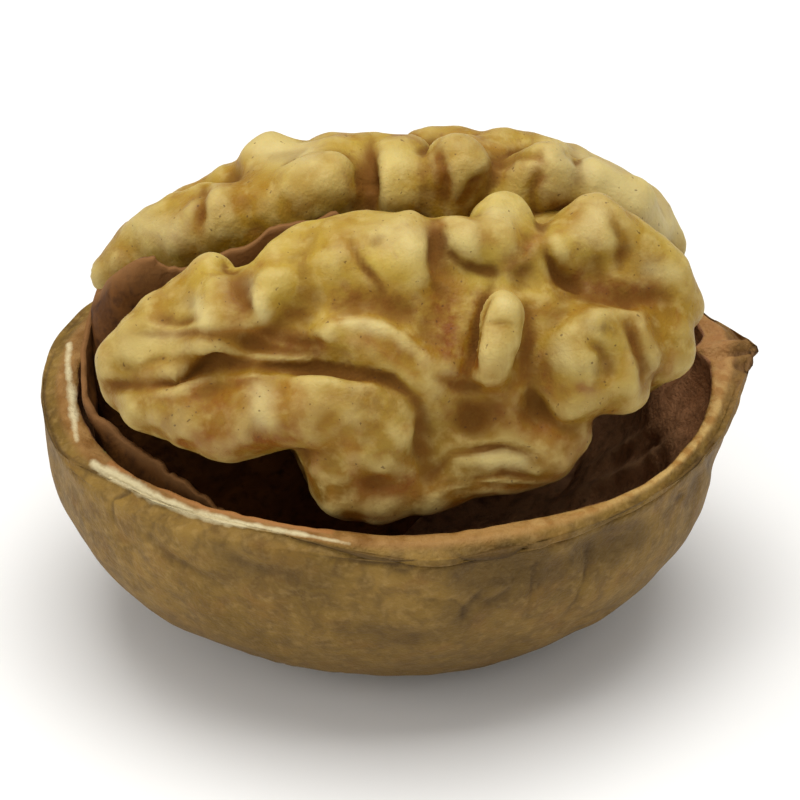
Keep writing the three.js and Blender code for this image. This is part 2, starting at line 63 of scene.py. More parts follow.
def view(azimuth, elevation, distance):
    """A line of sight from so many degrees round and above: unit vectors across and up the picture, and the eye."""
    a, e = math.radians(azimuth), math.radians(elevation)
    back = np.array([math.sin(a) * math.cos(e), -math.cos(a) * math.cos(e), math.sin(e)])
    across = np.array([math.cos(a), math.sin(a), 0])
    return {"across": across, "up": np.cross(back, across), "back": back, "eye": back * distance}


FROM_FRONT = view(-8, 34, 280)
FROM_REAR = view(172, 34, 280)
print("eye at", FROM_FRONT["eye"].round(1), "mm")

# %% [markdown]
# ## Camera
# The picture looks down at the nut by 34 degrees, from a little to the left, and its edges hardly converge: it
# was taken from far off through a long lens. The camera comes first because the walnut's folds are drawn as
# they are seen from it.

# %% Camera
AIM_DROP = 1.62  # the middle of the picture lies this far below the rim's middle, mm
LENS = 218  # for a sensor 36 mm wide: 17.3 pixels to a millimetre in a picture 800 pixels wide


def place_camera(sight, drop, lens):
    """A camera at the eye, moved down the picture by the drop, looking along the line of sight."""
    camera = bpy.data.objects.new("camera", bpy.data.cameras.new("camera"))
    camera.data.lens, camera.data.sensor_width = lens, 36
    camera.data.clip_start, camera.data.clip_end = 0.01, 10
    turn = Matrix([sight["across"], sight["up"], sight["back"]]).transposed().to_4x4()
    eye = sight["eye"] - drop * sight["up"] + np.array([0, 0, RIM])
    camera.matrix_world = Matrix.Translation(Vector(eye * MM)) @ turn
    bpy.context.collection.objects.link(camera)
    bpy.context.scene.camera = camera
    return camera


camera = place_camera(FROM_FRONT, AIM_DROP, LENS)
print("camera", [round(x, 3) for x in camera.matrix_world.translation])

# %% [markdown]
# ## Tools for surfaces
# Every surface here is a set of points and a set of four-cornered faces, both whole numpy arrays. A few small
# tools serve all of them, first soft steps and a smooth random value at each point of space.


# %% Soft steps and smooth noise
def smoothstep(x, low, high):
    """0 below low, 1 above high, and 3t² - 2t³ between."""
    t = np.clip((x - low) / (high - low), 0, 1)
    return t * t * (3 - 2 * t)


def noise(points, size, seed):
    """From -1 to 1: a scrambled number at each corner of a cubic grid of that size, blended softly in between."""
    place = points / size
    corner = np.floor(place).astype(np.int64)
    part = smoothstep(place - corner, 0, 1)
    total = np.zeros(len(points))
    for step in np.ndindex(2, 2, 2):
        cell = corner + np.array(step)
        number = cell[:, 0] * 73856093 ^ cell[:, 1] * 19349663 ^ cell[:, 2] * 83492791 ^ seed * 9781
        number = (number ^ number >> 15) * 2246822519 & 0xFFFFFFFF
        number = (number ^ number >> 13) * 3266489917 & 0xFFFFFFFF
        weight = np.prod(np.where(step, part, 1 - part), axis=1)
        total += weight * (number / 0x80000000 - 1)
    return total


print("noise", noise(np.array([[0.3, 0.2, 0.1], [5.5, 1.2, 3.3]]), 1.0, 1).round(2))

# %% [markdown]
# Relief is added along the normals, the directions in which a surface faces. The finishes paint shade where a
# surface is hollow, and on the kernel a highlight where it stands out; which it is shows when each point is set
# against the average of those round it.


# %% Normals and neighbours
def normals_of(points, faces):
    """At each point, the sum of the crossed diagonals of the faces round it, made one unit long."""
    crossed = np.cross(points[faces[:, 2]] - points[faces[:, 0]], points[faces[:, 3]] - points[faces[:, 1]])
    total = np.stack([
        sum(np.bincount(faces[:, k], crossed[:, axis], len(points)) for k in range(4)) for axis in range(3)
    ], 1)
    return total / np.maximum(np.linalg.norm(total, axis=1, keepdims=True), 1e-9)


def spread(values, faces, rounds):
    """Values at the points, averaged so many times with those at the corners next to them."""
    values = values.reshape(len(values), -1).astype(float)
    start, end = faces.ravel(), np.roll(faces, 1, axis=1).ravel()
    start, end = np.concatenate([start, end]), np.concatenate([end, start])
    count = np.maximum(np.bincount(start, minlength=len(values)), 1)
    for _ in range(rounds):
        near = [np.bincount(start, values[end, c], len(values)) / count for c in range(values.shape[1])]
        values = (values + np.stack(near, 1)) / 2
    return values


def hollowness(points, faces, normals, rounds):
    """How far the surface lies below its own average over the neighbourhood, in mm: above 0 in a crease."""
    return ((spread(points, faces, rounds) - points) * normals).sum(1)


corners = np.array([[0, 0, 0], [1, 0, 0], [1, 1, 0], [0, 1, 0]])
print("a level square faces", normals_of(corners, np.array([[0, 1, 2, 3]]))[0])

# %% [markdown]
# ## Drawing on what is seen
# A crease or a stain is easiest to place where it is seen, so it is drawn as a line of points across and up
# the picture, in millimetres. `drawn` then gives every point of a surface its share of each line, wherever on
# the surface the line of sight meets it.


# %% Lines drawn in the picture
def seen(points, sight):
    """Where points appear, across and up in mm: their share along both axes, larger the nearer the eye they are."""
    distance = np.linalg.norm(sight["eye"])
    nearer = 1 / (1 - points @ sight["back"] / distance)
    return np.stack([points @ sight["across"] * nearer, points @ sight["up"] * nearer], 1)


def from_line(places, line):
    """Each place's distance from a line through points, in mm, and how far along the line its nearest point
    lies, from 0 at the start to 1 at the end."""
    line = np.array(line, float)
    lengths = np.linalg.norm(np.diff(line, axis=0), axis=1)
    starts = np.concatenate([[0], np.cumsum(lengths)])
    nearest, along = np.full(len(places), np.inf), np.zeros(len(places))
    for a, b, start, length in zip(line[:-1], line[1:], starts, lengths):
        t = np.clip((places - a) @ (b - a) / length**2, 0, 1)
        distance = np.linalg.norm(places - a - t[:, None] * (b - a), axis=1)
        along = np.where(distance < nearest, (start + t * length) / starts[-1], along)
        nearest = np.minimum(nearest, distance)
    return nearest, along


def drawn(points, lines, taper=0.0):
    """The strongest of the lines at each point: strength * exp(-(distance / width)²), for (width, strength, line).
    With a taper of 1 a line fades towards both ends, by the sine of its length."""
    places = seen(points, FROM_FRONT)
    total = np.zeros(len(points))
    for width, strength, line in lines:
        distance, along = from_line(places, line)
        fade = 1 - taper + taper * np.sin(math.pi * along)
        total = np.maximum(total, strength * fade * np.exp(-(distance / width) ** 2))
    return total


print("a line at its middle:", drawn(np.zeros((1, 3)), [(1, 1, [[-1, 0], [1, 0]])], 1.0))

# %% [markdown]
# ## Making a piece
# A piece is a mesh of its own. It rides on the model's one body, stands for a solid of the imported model, and
# carries named values at its points, such as how deep in a crease they lie, for its finish to read.


# %% Make a piece
def add_piece(name, points, faces, values, replaces):
    """A smooth mesh object from points in mm and faces, with its named values at the points."""
    mesh = bpy.data.meshes.new(name)
    mesh.vertices.add(len(points))
    mesh.vertices.foreach_set("co", in_frame(points).ravel())
    corners = faces.ravel().astype(np.int32)
    mesh.loops.add(len(corners))
    mesh.loops.foreach_set("vertex_index", corners)
    mesh.polygons.add(len(faces))
    mesh.polygons.foreach_set("loop_start", np.arange(0, len(corners), faces.shape[1], dtype=np.int32))
    mesh.update(calc_edges=True)
    mesh.validate()
    mesh.shade_smooth()
    for key, value in values.items():
        mesh.attributes.new(key, "FLOAT", "POINT").data.foreach_set("value", value.astype(np.float32))
    piece = bpy.data.objects.new(name, mesh)
    bpy.context.collection.objects.link(piece)
    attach(piece, "root")
    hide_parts(replaces)
    print(f"{name}: {len(points)} points, {len(faces)} faces")
    return piece


# %% [markdown]
# ## The shell's outline
# The nut is longer than it is wide, round at the stem end and pointed at the other. Seen from above its rim is
# an ellipse with a small peak. The bowl below is the same outline, shrinking with depth by the rule of a
# superellipse: the two shares, each raised to the power of 2.5, add up to 1. That is a little fuller than a
# true ellipse, as the real shell is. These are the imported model's measurements, with two things added that are
# finer than its facets: the peak ends in a small sharp tip, and at the rim beside it the wall is a thin lip.

# %% The shell's measurements
STEM_END, POINT_END, HALF_WIDTH = 20.15, 18.3, 17.1
POINT, POINT_WIDTH, POINT_HEIGHT = 1.8, 0.2, 9  # how far the peak stands out, its width in radians, its height
POINT_SHARE, TIP_SHARE, TIP_WIDTH = 0.8, 0.28, 0.05  # the peak's share of that, the sharp tip's, and its width
POINT_LEAN, LEAN_AT = 0.7, 0.28  # the outline is pushed to the front by so much, most at this angle
LIP = 0.25
TONGUE, TONGUE_AT, TONGUE_WIDTH = 0.9, -0.03, 0.045
FULLNESS = 2.5  # the power in the rule of the superellipse
WALL, WALL_AT_POINT = 1.5, 3.2
FLAT_SPOT = 0.15  # how much the flat spot takes off the round bottom
BEAD, BEAD_AT_POINT = 0.5, 0.35  # how far the bead along the seam stands out, and how much more at the point
BELLY, DIMPLES = 0.65, 0.2  # how far the ends bulge below the rim, and the depth of broad dimples
CAVITY_DEPTH = RIM - WALL


def near_point(angle, width):
    """1 at the pointed end and exp(-(angle / width)²) away from it, with the angle between -180 and 180 degrees."""
    return np.exp(-(np.arctan2(np.sin(angle), np.cos(angle)) / width) ** 2)


def rim_outline(angle, inset, pointed):
    """X and Y of the rim at an angle round the nut: an ellipse drawn in by the inset, and at angle 0 a peak, which
    is a bell with a sharp tip on it, exp(-|angle| / width). Beside it the outline leans to the front."""
    reach = np.where(np.cos(angle) < 0, STEM_END, POINT_END)
    tip = np.exp(-np.abs(np.arctan2(np.sin(angle), np.cos(angle))) / TIP_WIDTH)
    peak = POINT * pointed * (POINT_SHARE * near_point(angle, POINT_WIDTH) + TIP_SHARE * tip)
    lean = POINT_LEAN * pointed * near_point(angle - LEAN_AT, POINT_WIDTH)
    return (reach - inset) * np.cos(angle) + peak, (HALF_WIDTH - inset) * np.sin(angle) - lean


def narrowing(z, depth):
    """The share of the rim's size that is left at height z: (1 - (|z| / depth)^2.5)^(1 / 2.5)."""
    return (1 - np.minimum(1, np.abs(z) / depth) ** FULLNESS) ** (1 / FULLNESS)


def wall_at(angle):
    """The wall's thickness: thicker at the point, where the shell's halves met in a solid corner."""
    return WALL + (WALL_AT_POINT - WALL) * near_point(angle, 0.3)


def rim_wall(angle):
    """The wall's thickness at the rim alone: a thin lip from the point round to the front right, where a small
    tongue of the solid corner is left standing between two pockets."""
    degrees = np.degrees(np.arctan2(np.sin(angle), np.cos(angle)))
    thin = smoothstep(degrees, -80, -45) * (1 - smoothstep(degrees, 12, 22))
    return wall_at(angle) + (LIP - wall_at(angle)) * thin + TONGUE * near_point(angle - TONGUE_AT, TONGUE_WIDTH)


print("rim", np.round(rim_outline(np.radians([0, 90, 180, 270]), 0, 1), 1).tolist())

# %% [markdown]
# ## The kernel's folds
# A walnut's kernel is a seed whose two halves crumpled into thick folds as they filled the shell. The folds
# are what everyone knows it by, so each one that the picture shows is drawn here, as a line of balls: how far
# across and up the picture each ball lies, and its radius. `on_outline` finds how deep it sits, by letting it
# touch the kernel's overall outline, an ellipsoid, from the inside. The far side, which the picture doesn't
# show, is drawn in the same manner as if seen from behind.
#
# Each fold is a row of three things: how softly it runs into its neighbours, how far it stands proud of the
# outline, and its balls.


# %% Folds
def on_outline(half, u, v, r):
    """The nearest point on the line of sight through (u, v) that lies on the half's outline, r further in.
    Where the line misses the outline, the point where it passes closest."""
    inner = half["axes"] - r
    start = (half["seen"]["eye"] - half["middle"]) / inner
    ray = (u * half["seen"]["across"] + v * half["seen"]["up"] - half["seen"]["eye"]) / inner
    a, b, c = ray @ ray, ray @ start, start @ start - 1
    t = (-b - math.sqrt(max(0, b * b - a * c))) / a
    return (start + ray * t) * inner + half["middle"]


FRONT = {"middle": np.array([0, -5.6, 1]), "axes": np.array([17.2, 8.6, 13]), "seen": FROM_FRONT}
REAR = {"middle": np.array([0, 5.2, 1.5]), "axes": np.array([17.6, 7.8, 11.2]), "seen": FROM_FRONT}
REAR_BEHIND = {**REAR, "seen": FROM_REAR}

FRONT_FOLDS = [
    (1.2, 0, [[-16.3, 0.7, 1.4], [-14.8, 1.6, 1.9], [-12.4, 2.0, 2.0], [-10.7, 2.2, 1.6]]),
    (1.2, 0, [[-13.9, 3.5, 0.9], [-12.6, 4.2, 1.2], [-11.3, 4.3, 1.2]]),
    (1.2, 0, [[-11.0, 5.5, 1.3], [-10.6, 4.2, 1.4], [-10.5, 3.0, 1.3]]),
    (1.4, 0, [[-6.8, 5.9, 1.6], [-7.2, 4.7, 1.5], [-8.0, 3.7, 1.1]]),
    (1.8, -0.1, [[-4.9, 6.6, 1.9], [-3.6, 6.6, 2.1], [-3.4, 5.8, 1.9]]),
    (1.8, -0.1, [[-1.6, 7.0, 2.1], [0.3, 6.8, 2.2], [0.2, 6.0, 2.0]]),
    (1.0, -0.2, [[3.1, 7.8, 1.3], [3.6, 7.5, 1.2]]),
    (1.2, 0, [[5.8, 8.4, 1.9], [5.7, 7.4, 1.6]]),
    (1.0, 0, [[11.4, 7.9, 2.3], [11.4, 7.5, 2.2]]),
    (1.4, -0.4, [[9.6, 7.3, 1.4], [8.5, 6.8, 1.2]]),
    (1.2, -0.4, [[-9.2, 4.6, 1.3], [-9.0, 3.6, 1.2]]),
    (1.2, -0.1, [[13.6, 7.1, 1.6], [15.1, 5.7, 1.7], [15.9, 4.2, 1.5]]),
    (1.2, 0.1, [[10.0, 0.8, 1.8], [10.2, -0.9, 2.0]]),
    (1.4, 0.1, [[11.3, 2.2, 1.7], [12.9, 2.0, 1.7]]),
    (0.9, 0.1, [[12.6, 0.6, 2.2], [12.4, -0.5, 2.0]]),
    (1.2, 0, [[15.3, 1.9, 1.4], [15.6, 1.0, 1.4]]),
    (0.4, 0.1, [[6.0, 3.5, 1.05], [5.7, 1.6, 1.05], [5.3, 0.1, 1.0]]),
    (1.0, -0.3, [[-15.9, -0.5, 1.2], [-14.2, -0.9, 1.4], [-12.6, -0.9, 1.4]]),
    (0.5, 0, [[-15.8, -1.2, 1.1], [-14.6, -2.1, 1.4], [-12.4, -2.8, 1.7], [-9.8, -3.1, 2.2], [-7.2, -2.6, 2.1],
              [-4.9, -2.2, 2.1]]),
    (0.3, 0.3, [[-4.9, -2.2, 2.1], [-2.8, -2.1, 2.15], [-1.0, -3.1, 2.3], [-1.4, -3.8, 2.1]]),
    (0.7, 0, [[-2.4, -3.9, 2.0], [-3.4, -5.2, 2.2], [-3.1, -6.3, 2.3], [-1.6, -6.9, 1.6]]),
    (1.6, -0.9, [[-3.8, 2.2, 1.0], [-1.8, 1.8, 1.3], [0.2, 0.8, 1.4], [1.6, -0.2, 1.3]]),
    (1.8, -0.5, [[1.4, -6.6, 1.5], [4.0, -5.9, 1.4], [6.5, -5.6, 1.4], [8.6, -5.2, 1.2]]),
    (1.4, -1.5, [[2.4, -2.2, 1.4], [2.1, -3.6, 1.5], [2.2, -5.0, 1.4]]),
    (1.2, -0.8, [[5.4, -0.8, 1.5], [5.9, -3.2, 1.6]]),
    (1.2, -0.3, [[-0.8, -5.4, 1.6], [-1.4, -7.0, 1.5]]),
    (1.4, -1.0, [[3.4, -4.6, 1.2], [6.4, -4.3, 1.2], [9.0, -4.3, 1.1], [10.2, -3.9, 0.9]]),
]
REAR_FOLDS = [
    (1.2, 0, [[-16.4, 5.7, 1.4], [-14.8, 7.4, 1.6], [-12.9, 8.5, 1.6], [-12.2, 8.8, 1.5]]),
    (0.8, 0, [[-12.7, 9.6, 0.9], [-11.4, 10.1, 0.8]]),
    (0.9, 0, [[-7.6, 11.8, 2.0], [-5.8, 11.2, 2.2], [-3.8, 11.4, 2.1]]),
    (1.6, -0.1, [[-10.2, 8.9, 1.7], [-7.7, 9.2, 2.0], [-4.6, 9.8, 2.0]]),
    (0.8, 0.1, [[0.2, 12.0, 1.9], [0.3, 10.6, 1.7]]),
    (0.8, 0.1, [[3.9, 12.2, 1.5], [4.0, 11.4, 1.3]]),
    (0.9, 0, [[5.6, 12.1, 1.8], [7.2, 12.1, 1.9]]),
    (1.6, -0.2, [[8.7, 10.8, 1.9], [8.9, 10.2, 1.7]]),
    (1.8, -0.1, [[10.0, 11.0, 2.0], [12.2, 9.8, 2.1], [13.8, 8.8, 2.1], [14.7, 7.3, 2.0]]),
]
FAR_FOLDS = [
    (0.8, 0, [[-14.5, 1.5, 1.6], [-13.2, 4.0, 1.9], [-11.0, 5.6, 1.9]]),
    (0.8, 0, [[-10.8, 1.2, 1.8], [-9.2, 3.2, 2.0], [-7.4, 2.4, 1.7]]),
    (0.8, 0, [[-8.6, 7.6, 1.9], [-6.4, 6.2, 2.0], [-6.0, 4.4, 1.6]]),
    (0.8, 0, [[-4.6, 1.0, 1.8], [-4.0, 3.2, 1.9], [-1.8, 3.6, 1.8]]),
    (0.8, 0, [[-3.4, 8.6, 2.0], [-2.6, 6.8, 2.1]]),
    (0.8, 0, [[0.6, 7.6, 1.9], [1.6, 5.4, 2.1], [4.0, 4.6, 1.9]]),
    (0.8, 0, [[0.8, 1.0, 1.7], [2.4, 2.2, 1.8], [5.0, 1.6, 1.7]]),
    (0.8, 0, [[4.4, 8.6, 1.9], [6.6, 7.2, 2.0], [7.6, 5.0, 1.8]]),
    (0.8, 0, [[8.2, 1.6, 1.8], [10.0, 3.0, 1.9], [12.4, 2.2, 1.7]]),
    (0.8, 0, [[10.6, 6.8, 1.8], [12.4, 5.4, 1.8], [14.2, 3.6, 1.6]]),
    (0.8, 0, [[15.4, 1.2, 1.4], [15.8, 2.6, 1.3]]),
]


def balls(half, folds):
    """Each fold's softness, and its balls as rows of X, Y, Z and radius, proud of the outline by so much."""
    return [(soft, np.array([[*on_outline(half, u, v, r - proud), r] for u, v, r in fold]))
            for soft, proud, fold in folds]


FOLDS = balls(FRONT, FRONT_FOLDS) + balls(REAR, REAR_FOLDS) + balls(REAR_BEHIND, FAR_FOLDS)
print(len(FOLDS), "folds,", sum(len(fold) for _, fold in FOLDS), "balls")

# %% [markdown]
# The folds lie on a body that fills the kernel. Both are described by a distance: a number at each point of
# space that is negative inside the kernel and positive outside. Two such numbers are joined by taking the
# smaller, rounded off where they are nearly equal, so that one fold runs into the next as flesh does. Taking
# the larger cuts one away from the other, which makes the furrow for the partition and keeps the kernel clear
# of the shell's wall.

# %% The kernel as a distance
FRONT_CORES = [
    ([0, -5.6, 1], [15.4, 6.9, 10.7]),
    ([9, 0, 2], [6, 4, 7.5]),
    ([11.5, -4, 5.2], [4.4, 4.4, 5]),
]
DEEP_CORES = [
    ([5.2, -6.6, -1.5], [6.6, 6.9, 7.3]),
    ([0, 5.2, 1.5], [16.2, 6.5, 9.8]),
    ([1, 3.2, -4.5], [14.5, 11, 10.2]),
]
OVERHANG = np.array([
    [-19, 2.5], [-17.2, 0.2], [-16, -2], [-14.8, -3.5], [-12.5, -4.4], [-9.7, -5.3], [-6.6, -4.3], [-5.2, -7],
    [-4, -8.4], [-1, -8], [0.4, -5], [2.2, -1.6], [5, -1.8], [7.5, -2.0], [8.4, -2.6], [10.2, -3.2], [12, -2.8],
    [14, -2.3], [15.5, -1.4], [17, 0.8], [19, 5],
])
UNDERSIDE = np.array([
    [-19, 2.5], [-17.2, 0.2], [-16, -2], [-14.8, -3.5], [-12.5, -4.4], [-9.7, -5.3], [-6.6, -4.3], [-5.2, -7],
    [-4, -8.4], [-2, -9], [2.4, -8.5], [5.6, -7.4], [8.3, -7], [9.7, -6], [10.6, -4.6], [10.9, -2.9],
    [13, -2.3], [15.3, -1.2], [17, 0.8], [19, 5],
])
SEPTUM = np.array([
    [3.0, 0.2, 10.4, -9], [-1.1, 0.2, 11.0, -12.5], [-7.3, 0.2, 11.1, -13], [-10.7, 0.2, 9.7, -12],
    [-13.5, 0.2, 8.4, -10], [-16.2, 0.3, 9.1, -8], [-17.3, 1.0, 8.4, -5], [-17.6, 2.6, 5.6, -3],
])
CLEARANCE, PAPER = 0.35, 0.7
OVERHANG_LIFT, UNDERSIDE_LIFT = 1.0, 0.9  # how far above the two lines the lobes end
CORES_SOFT, LOBES_SOFT, UNDERCUT_SOFT, FURROW_SOFT, WALL_SOFT = 2, 0.8, 1.2, 0.3, 0.5


def join(a, b, k):
    """The smaller of two distances, less (k - |a - b|)² / 4k where they differ by less than k."""
    return np.minimum(a, b) - np.maximum(k - np.abs(a - b), 0) ** 2 / (4 * k)


def cut(a, b, k):
    """The larger of two distances, rounded off in the same way."""
    return -join(-a, -b, k)


def from_ellipsoid(p, middle, axes):
    """Distance from an ellipsoid: k (k - 1) over the slope of k, where k is the length of p counted in axes."""
    q = (p - np.array(middle)) / np.array(axes)
    k = np.linalg.norm(q, axis=1)
    return k * (k - 1) / np.maximum(np.linalg.norm(q / np.array(axes), axis=1), 1e-6)


def from_fold(p, fold):
    """Distance from a line of balls: that from the nearest point of the line, less the radius there."""
    nearest = np.full(len(p), np.inf)
    for a, b in zip(fold[:-1], fold[1:]):
        along = b[:3] - a[:3]
        t = np.clip((p - a[:3]) @ along / (along @ along), 0, 1)
        away = np.linalg.norm(p - a[:3] - t[:, None] * along, axis=1) - a[3] - t * (b[3] - a[3])
        nearest = np.minimum(nearest, away)
    return nearest


def outside_cavity(p):
    """How far p is outside the space in the shell, roughly; the kernel may bulge over the wall above the rim."""
    angle = np.arctan2(p[:, 1] / HALF_WIDTH, p[:, 0] / STEM_END)
    share = np.hypot(p[:, 0], p[:, 1]) / np.hypot(*rim_outline(angle, wall_at(angle), 0))
    fall = np.maximum(0, -p[:, 2]) / CAVITY_DEPTH
    depth = ((share**FULLNESS + fall**FULLNESS) ** (1 / FULLNESS) - 1) * CAVITY_DEPTH
    return depth - 0.8 * np.maximum(0, p[:, 2] + 1)


def kernel_distance(p):
    """Body and folds joined, less the hollow under the front lobe, the partition's furrow and the shell's wall."""
    across, up = seen(p, FROM_FRONT).T
    front, deep = np.full(len(p), 99.0), np.full(len(p), 99.0)
    for core in FRONT_CORES:
        front = join(front, from_ellipsoid(p, *core), CORES_SOFT)
    for core in DEEP_CORES:
        deep = join(deep, from_ellipsoid(p, *core), CORES_SOFT)
    front = cut(front, np.interp(across, *OVERHANG.T) + OVERHANG_LIFT - up, UNDERCUT_SOFT)
    deep = cut(deep, np.interp(across, *UNDERSIDE.T) + UNDERSIDE_LIFT - up, UNDERCUT_SOFT)
    total = join(front, deep, LOBES_SOFT)
    for soft, fold in FOLDS:
        total = join(total, from_fold(p, fold), soft)
    lean = np.maximum(0.1, narrowing(p[:, 2], CAVITY_DEPTH))
    furrow = PAPER / 2 + CLEARANCE - from_line(p[:, :2] / lean[:, None], SEPTUM[:, :2])[0] * lean
    gap = CLEARANCE + (PAPER + CLEARANCE) * smoothstep(p[:, 2], -10, -7)
    return cut(cut(total, furrow, FURROW_SOFT), outside_cavity(p) + gap, WALL_SOFT)


print("distance at the middle", kernel_distance(np.array([[8.0, 0.0, 0.0]])).round(1), "mm")

# %% [markdown]
# To get a mesh, the distance is measured on a grid, and the surface runs where it changes sign. This is the
# method of surface nets: each grid cell that the surface crosses gets one point, at the mean of the places
# where it crosses the cell's edges, and each grid edge that it crosses gets a face between the four cells
# round it. The grid is measured coarsely first, and finely only near the surface, which is quicker.


# %% From distance to surface
def measure(distance, axes, coarse):
    """The distance on a grid: measured at every so many grid points, and at each one within 1.8 coarse steps
    of the surface. The rest keep the value of the nearest measured point."""
    shape = tuple(len(axis) for axis in axes)
    few = [axis[::coarse] for axis in axes]
    rough = distance(np.stack(np.meshgrid(*few, indexing="ij"), -1).reshape(-1, 3)).reshape([len(f) for f in few])
    near = [np.minimum((np.arange(n) + coarse // 2) // coarse, len(f) - 1) for n, f in zip(shape, few)]
    values = rough[np.ix_(*near)]
    band = np.argwhere(np.abs(values) < 1.8 * coarse * (axes[0][1] - axes[0][0]))
    for part in np.array_split(band, max(1, len(band) // 200000)):
        values[tuple(part.T)] = distance(np.stack([axis[part[:, i]] for i, axis in enumerate(axes)], 1))
    return values


def fill_touching_corners(values):
    """Where solid grid points touch only across a square's diagonal, one more point of it is made solid, so that
    no edge of the surface has more than two faces."""
    while True:
        solid, filled = values < 0, 0
        for first, second in [(0, 1), (1, 2), (0, 2)]:
            def part(a, b):
                index = [slice(None)] * 3
                index[first] = slice(1, None) if a else slice(None, -1)
                index[second] = slice(1, None) if b else slice(None, -1)
                return tuple(index)
            a, b, c, d = solid[part(0, 0)], solid[part(1, 0)], solid[part(1, 1)], solid[part(0, 1)]
            crossed = (a == c) & (b == d) & (a != b)
            for where, corner in [(crossed & a, part(1, 0)), (crossed & b, part(0, 0))]:
                values[corner][where] = -1e-3
                filled += where.sum()
        if not filled:
            return values


def surface_net(values, axes):
    """Points and four-cornered faces of the surface where the values on the grid change sign."""
    solid = values < 0
    n = np.array(values.shape) - 1
    corners = list(np.ndindex(2, 2, 2))
    count = sum(solid[i:n[0] + i, j:n[1] + j, k:n[2] + k].astype(int) for i, j, k in corners)
    cells = np.argwhere((count > 0) & (count < 8))
    number = np.full(n, -1)
    number[tuple(cells.T)] = np.arange(len(cells))
    at = np.array([values[tuple((cells + corner).T)] for corner in corners])
    total, crossings = np.zeros((len(cells), 3)), np.zeros(len(cells))
    for a, start in enumerate(corners):
        for b, end in enumerate(corners):
            if b <= a or sum(abs(s - e) for s, e in zip(start, end)) != 1:
                continue
            crossed = (at[a] < 0) != (at[b] < 0)
            t = np.where(crossed, at[a] / np.where(crossed, at[a] - at[b], 1), 0)
            total += crossed[:, None] * (np.array(start) + t[:, None] * (np.array(end) - np.array(start)))
            crossings += crossed
    place = cells + total / crossings[:, None]
    points = np.stack([np.interp(place[:, i], np.arange(len(axis)), axis) for i, axis in enumerate(axes)], 1)
    faces = []
    for axis in range(3):
        one, s, t = np.roll(np.eye(3, dtype=int), axis, axis=0)
        inner = solid[1:-1, 1:-1, 1:-1]
        beyond = solid[tuple(slice(1 + o, m - 1 + o) for o, m in zip(one, solid.shape))]
        edges = np.argwhere(inner != beyond) + 1
        square = np.stack([number[tuple((edges - x * s - y * t).T)] for x, y in [(0, 0), (1, 0), (1, 1), (0, 1)]], 1)
        outward = solid[tuple(edges.T)]
        faces.append(np.where(outward[:, None], square, square[:, ::-1]))
    return points, np.concatenate(faces)


def largest_part(points, faces):
    """The largest connected part: every point takes the lowest number that reaches it, and the commonest wins."""
    label = np.arange(len(points))
    while True:
        lower = label.copy()
        np.minimum.at(lower, faces.ravel(), label[faces].min(1).repeat(4))
        lower = lower[lower]
        if (lower == label).all():
            break
        label = lower
    kept = label == np.bincount(label).argmax()
    return points[kept], (np.cumsum(kept) - 1)[faces[kept[faces[:, 0]]]]


ball_axes = [np.arange(-2, 2.1, 1)] * 3
ball = np.linalg.norm(np.stack(np.meshgrid(*ball_axes, indexing="ij"), -1), axis=-1) - 1.2
print("a ball on a grid of 5 by 5 by 5:", len(surface_net(ball, ball_axes)[1]), "faces")

# %% [markdown]
# The kernel is measured on a grid as fine as a quarter of a millimetre, where a crease that is half a millimetre
# wide still shows. Low down, where the shell hides it, the rows of the grid stand twice as far apart.

# %% The kernel's surface
FINE, COARSE_STEPS = 0.25, 4
HIDDEN_BELOW = -3
heights = np.concatenate([np.arange(-15.5, HIDDEN_BELOW, 2 * FINE), np.arange(HIDDEN_BELOW, 14.6, FINE)])
kernel_axes = [np.arange(-19, 19.01, FINE), np.arange(-15.5, 14.01, FINE), heights]
kernel_values = fill_touching_corners(measure(kernel_distance, kernel_axes, COARSE_STEPS))
kernel_points, kernel_faces = largest_part(*surface_net(kernel_values, kernel_axes))
print(len(kernel_points), "points,", len(kernel_faces), "faces")

# %% [markdown]
# ### The kernel's skin
# The folds are not smooth tubes. Their skin swells and dips a little, and fine creases run over it. The creases
# and ridges that the picture shows are drawn one by one, each as its width, its depth or height in mm, and its
# points across and up the picture.

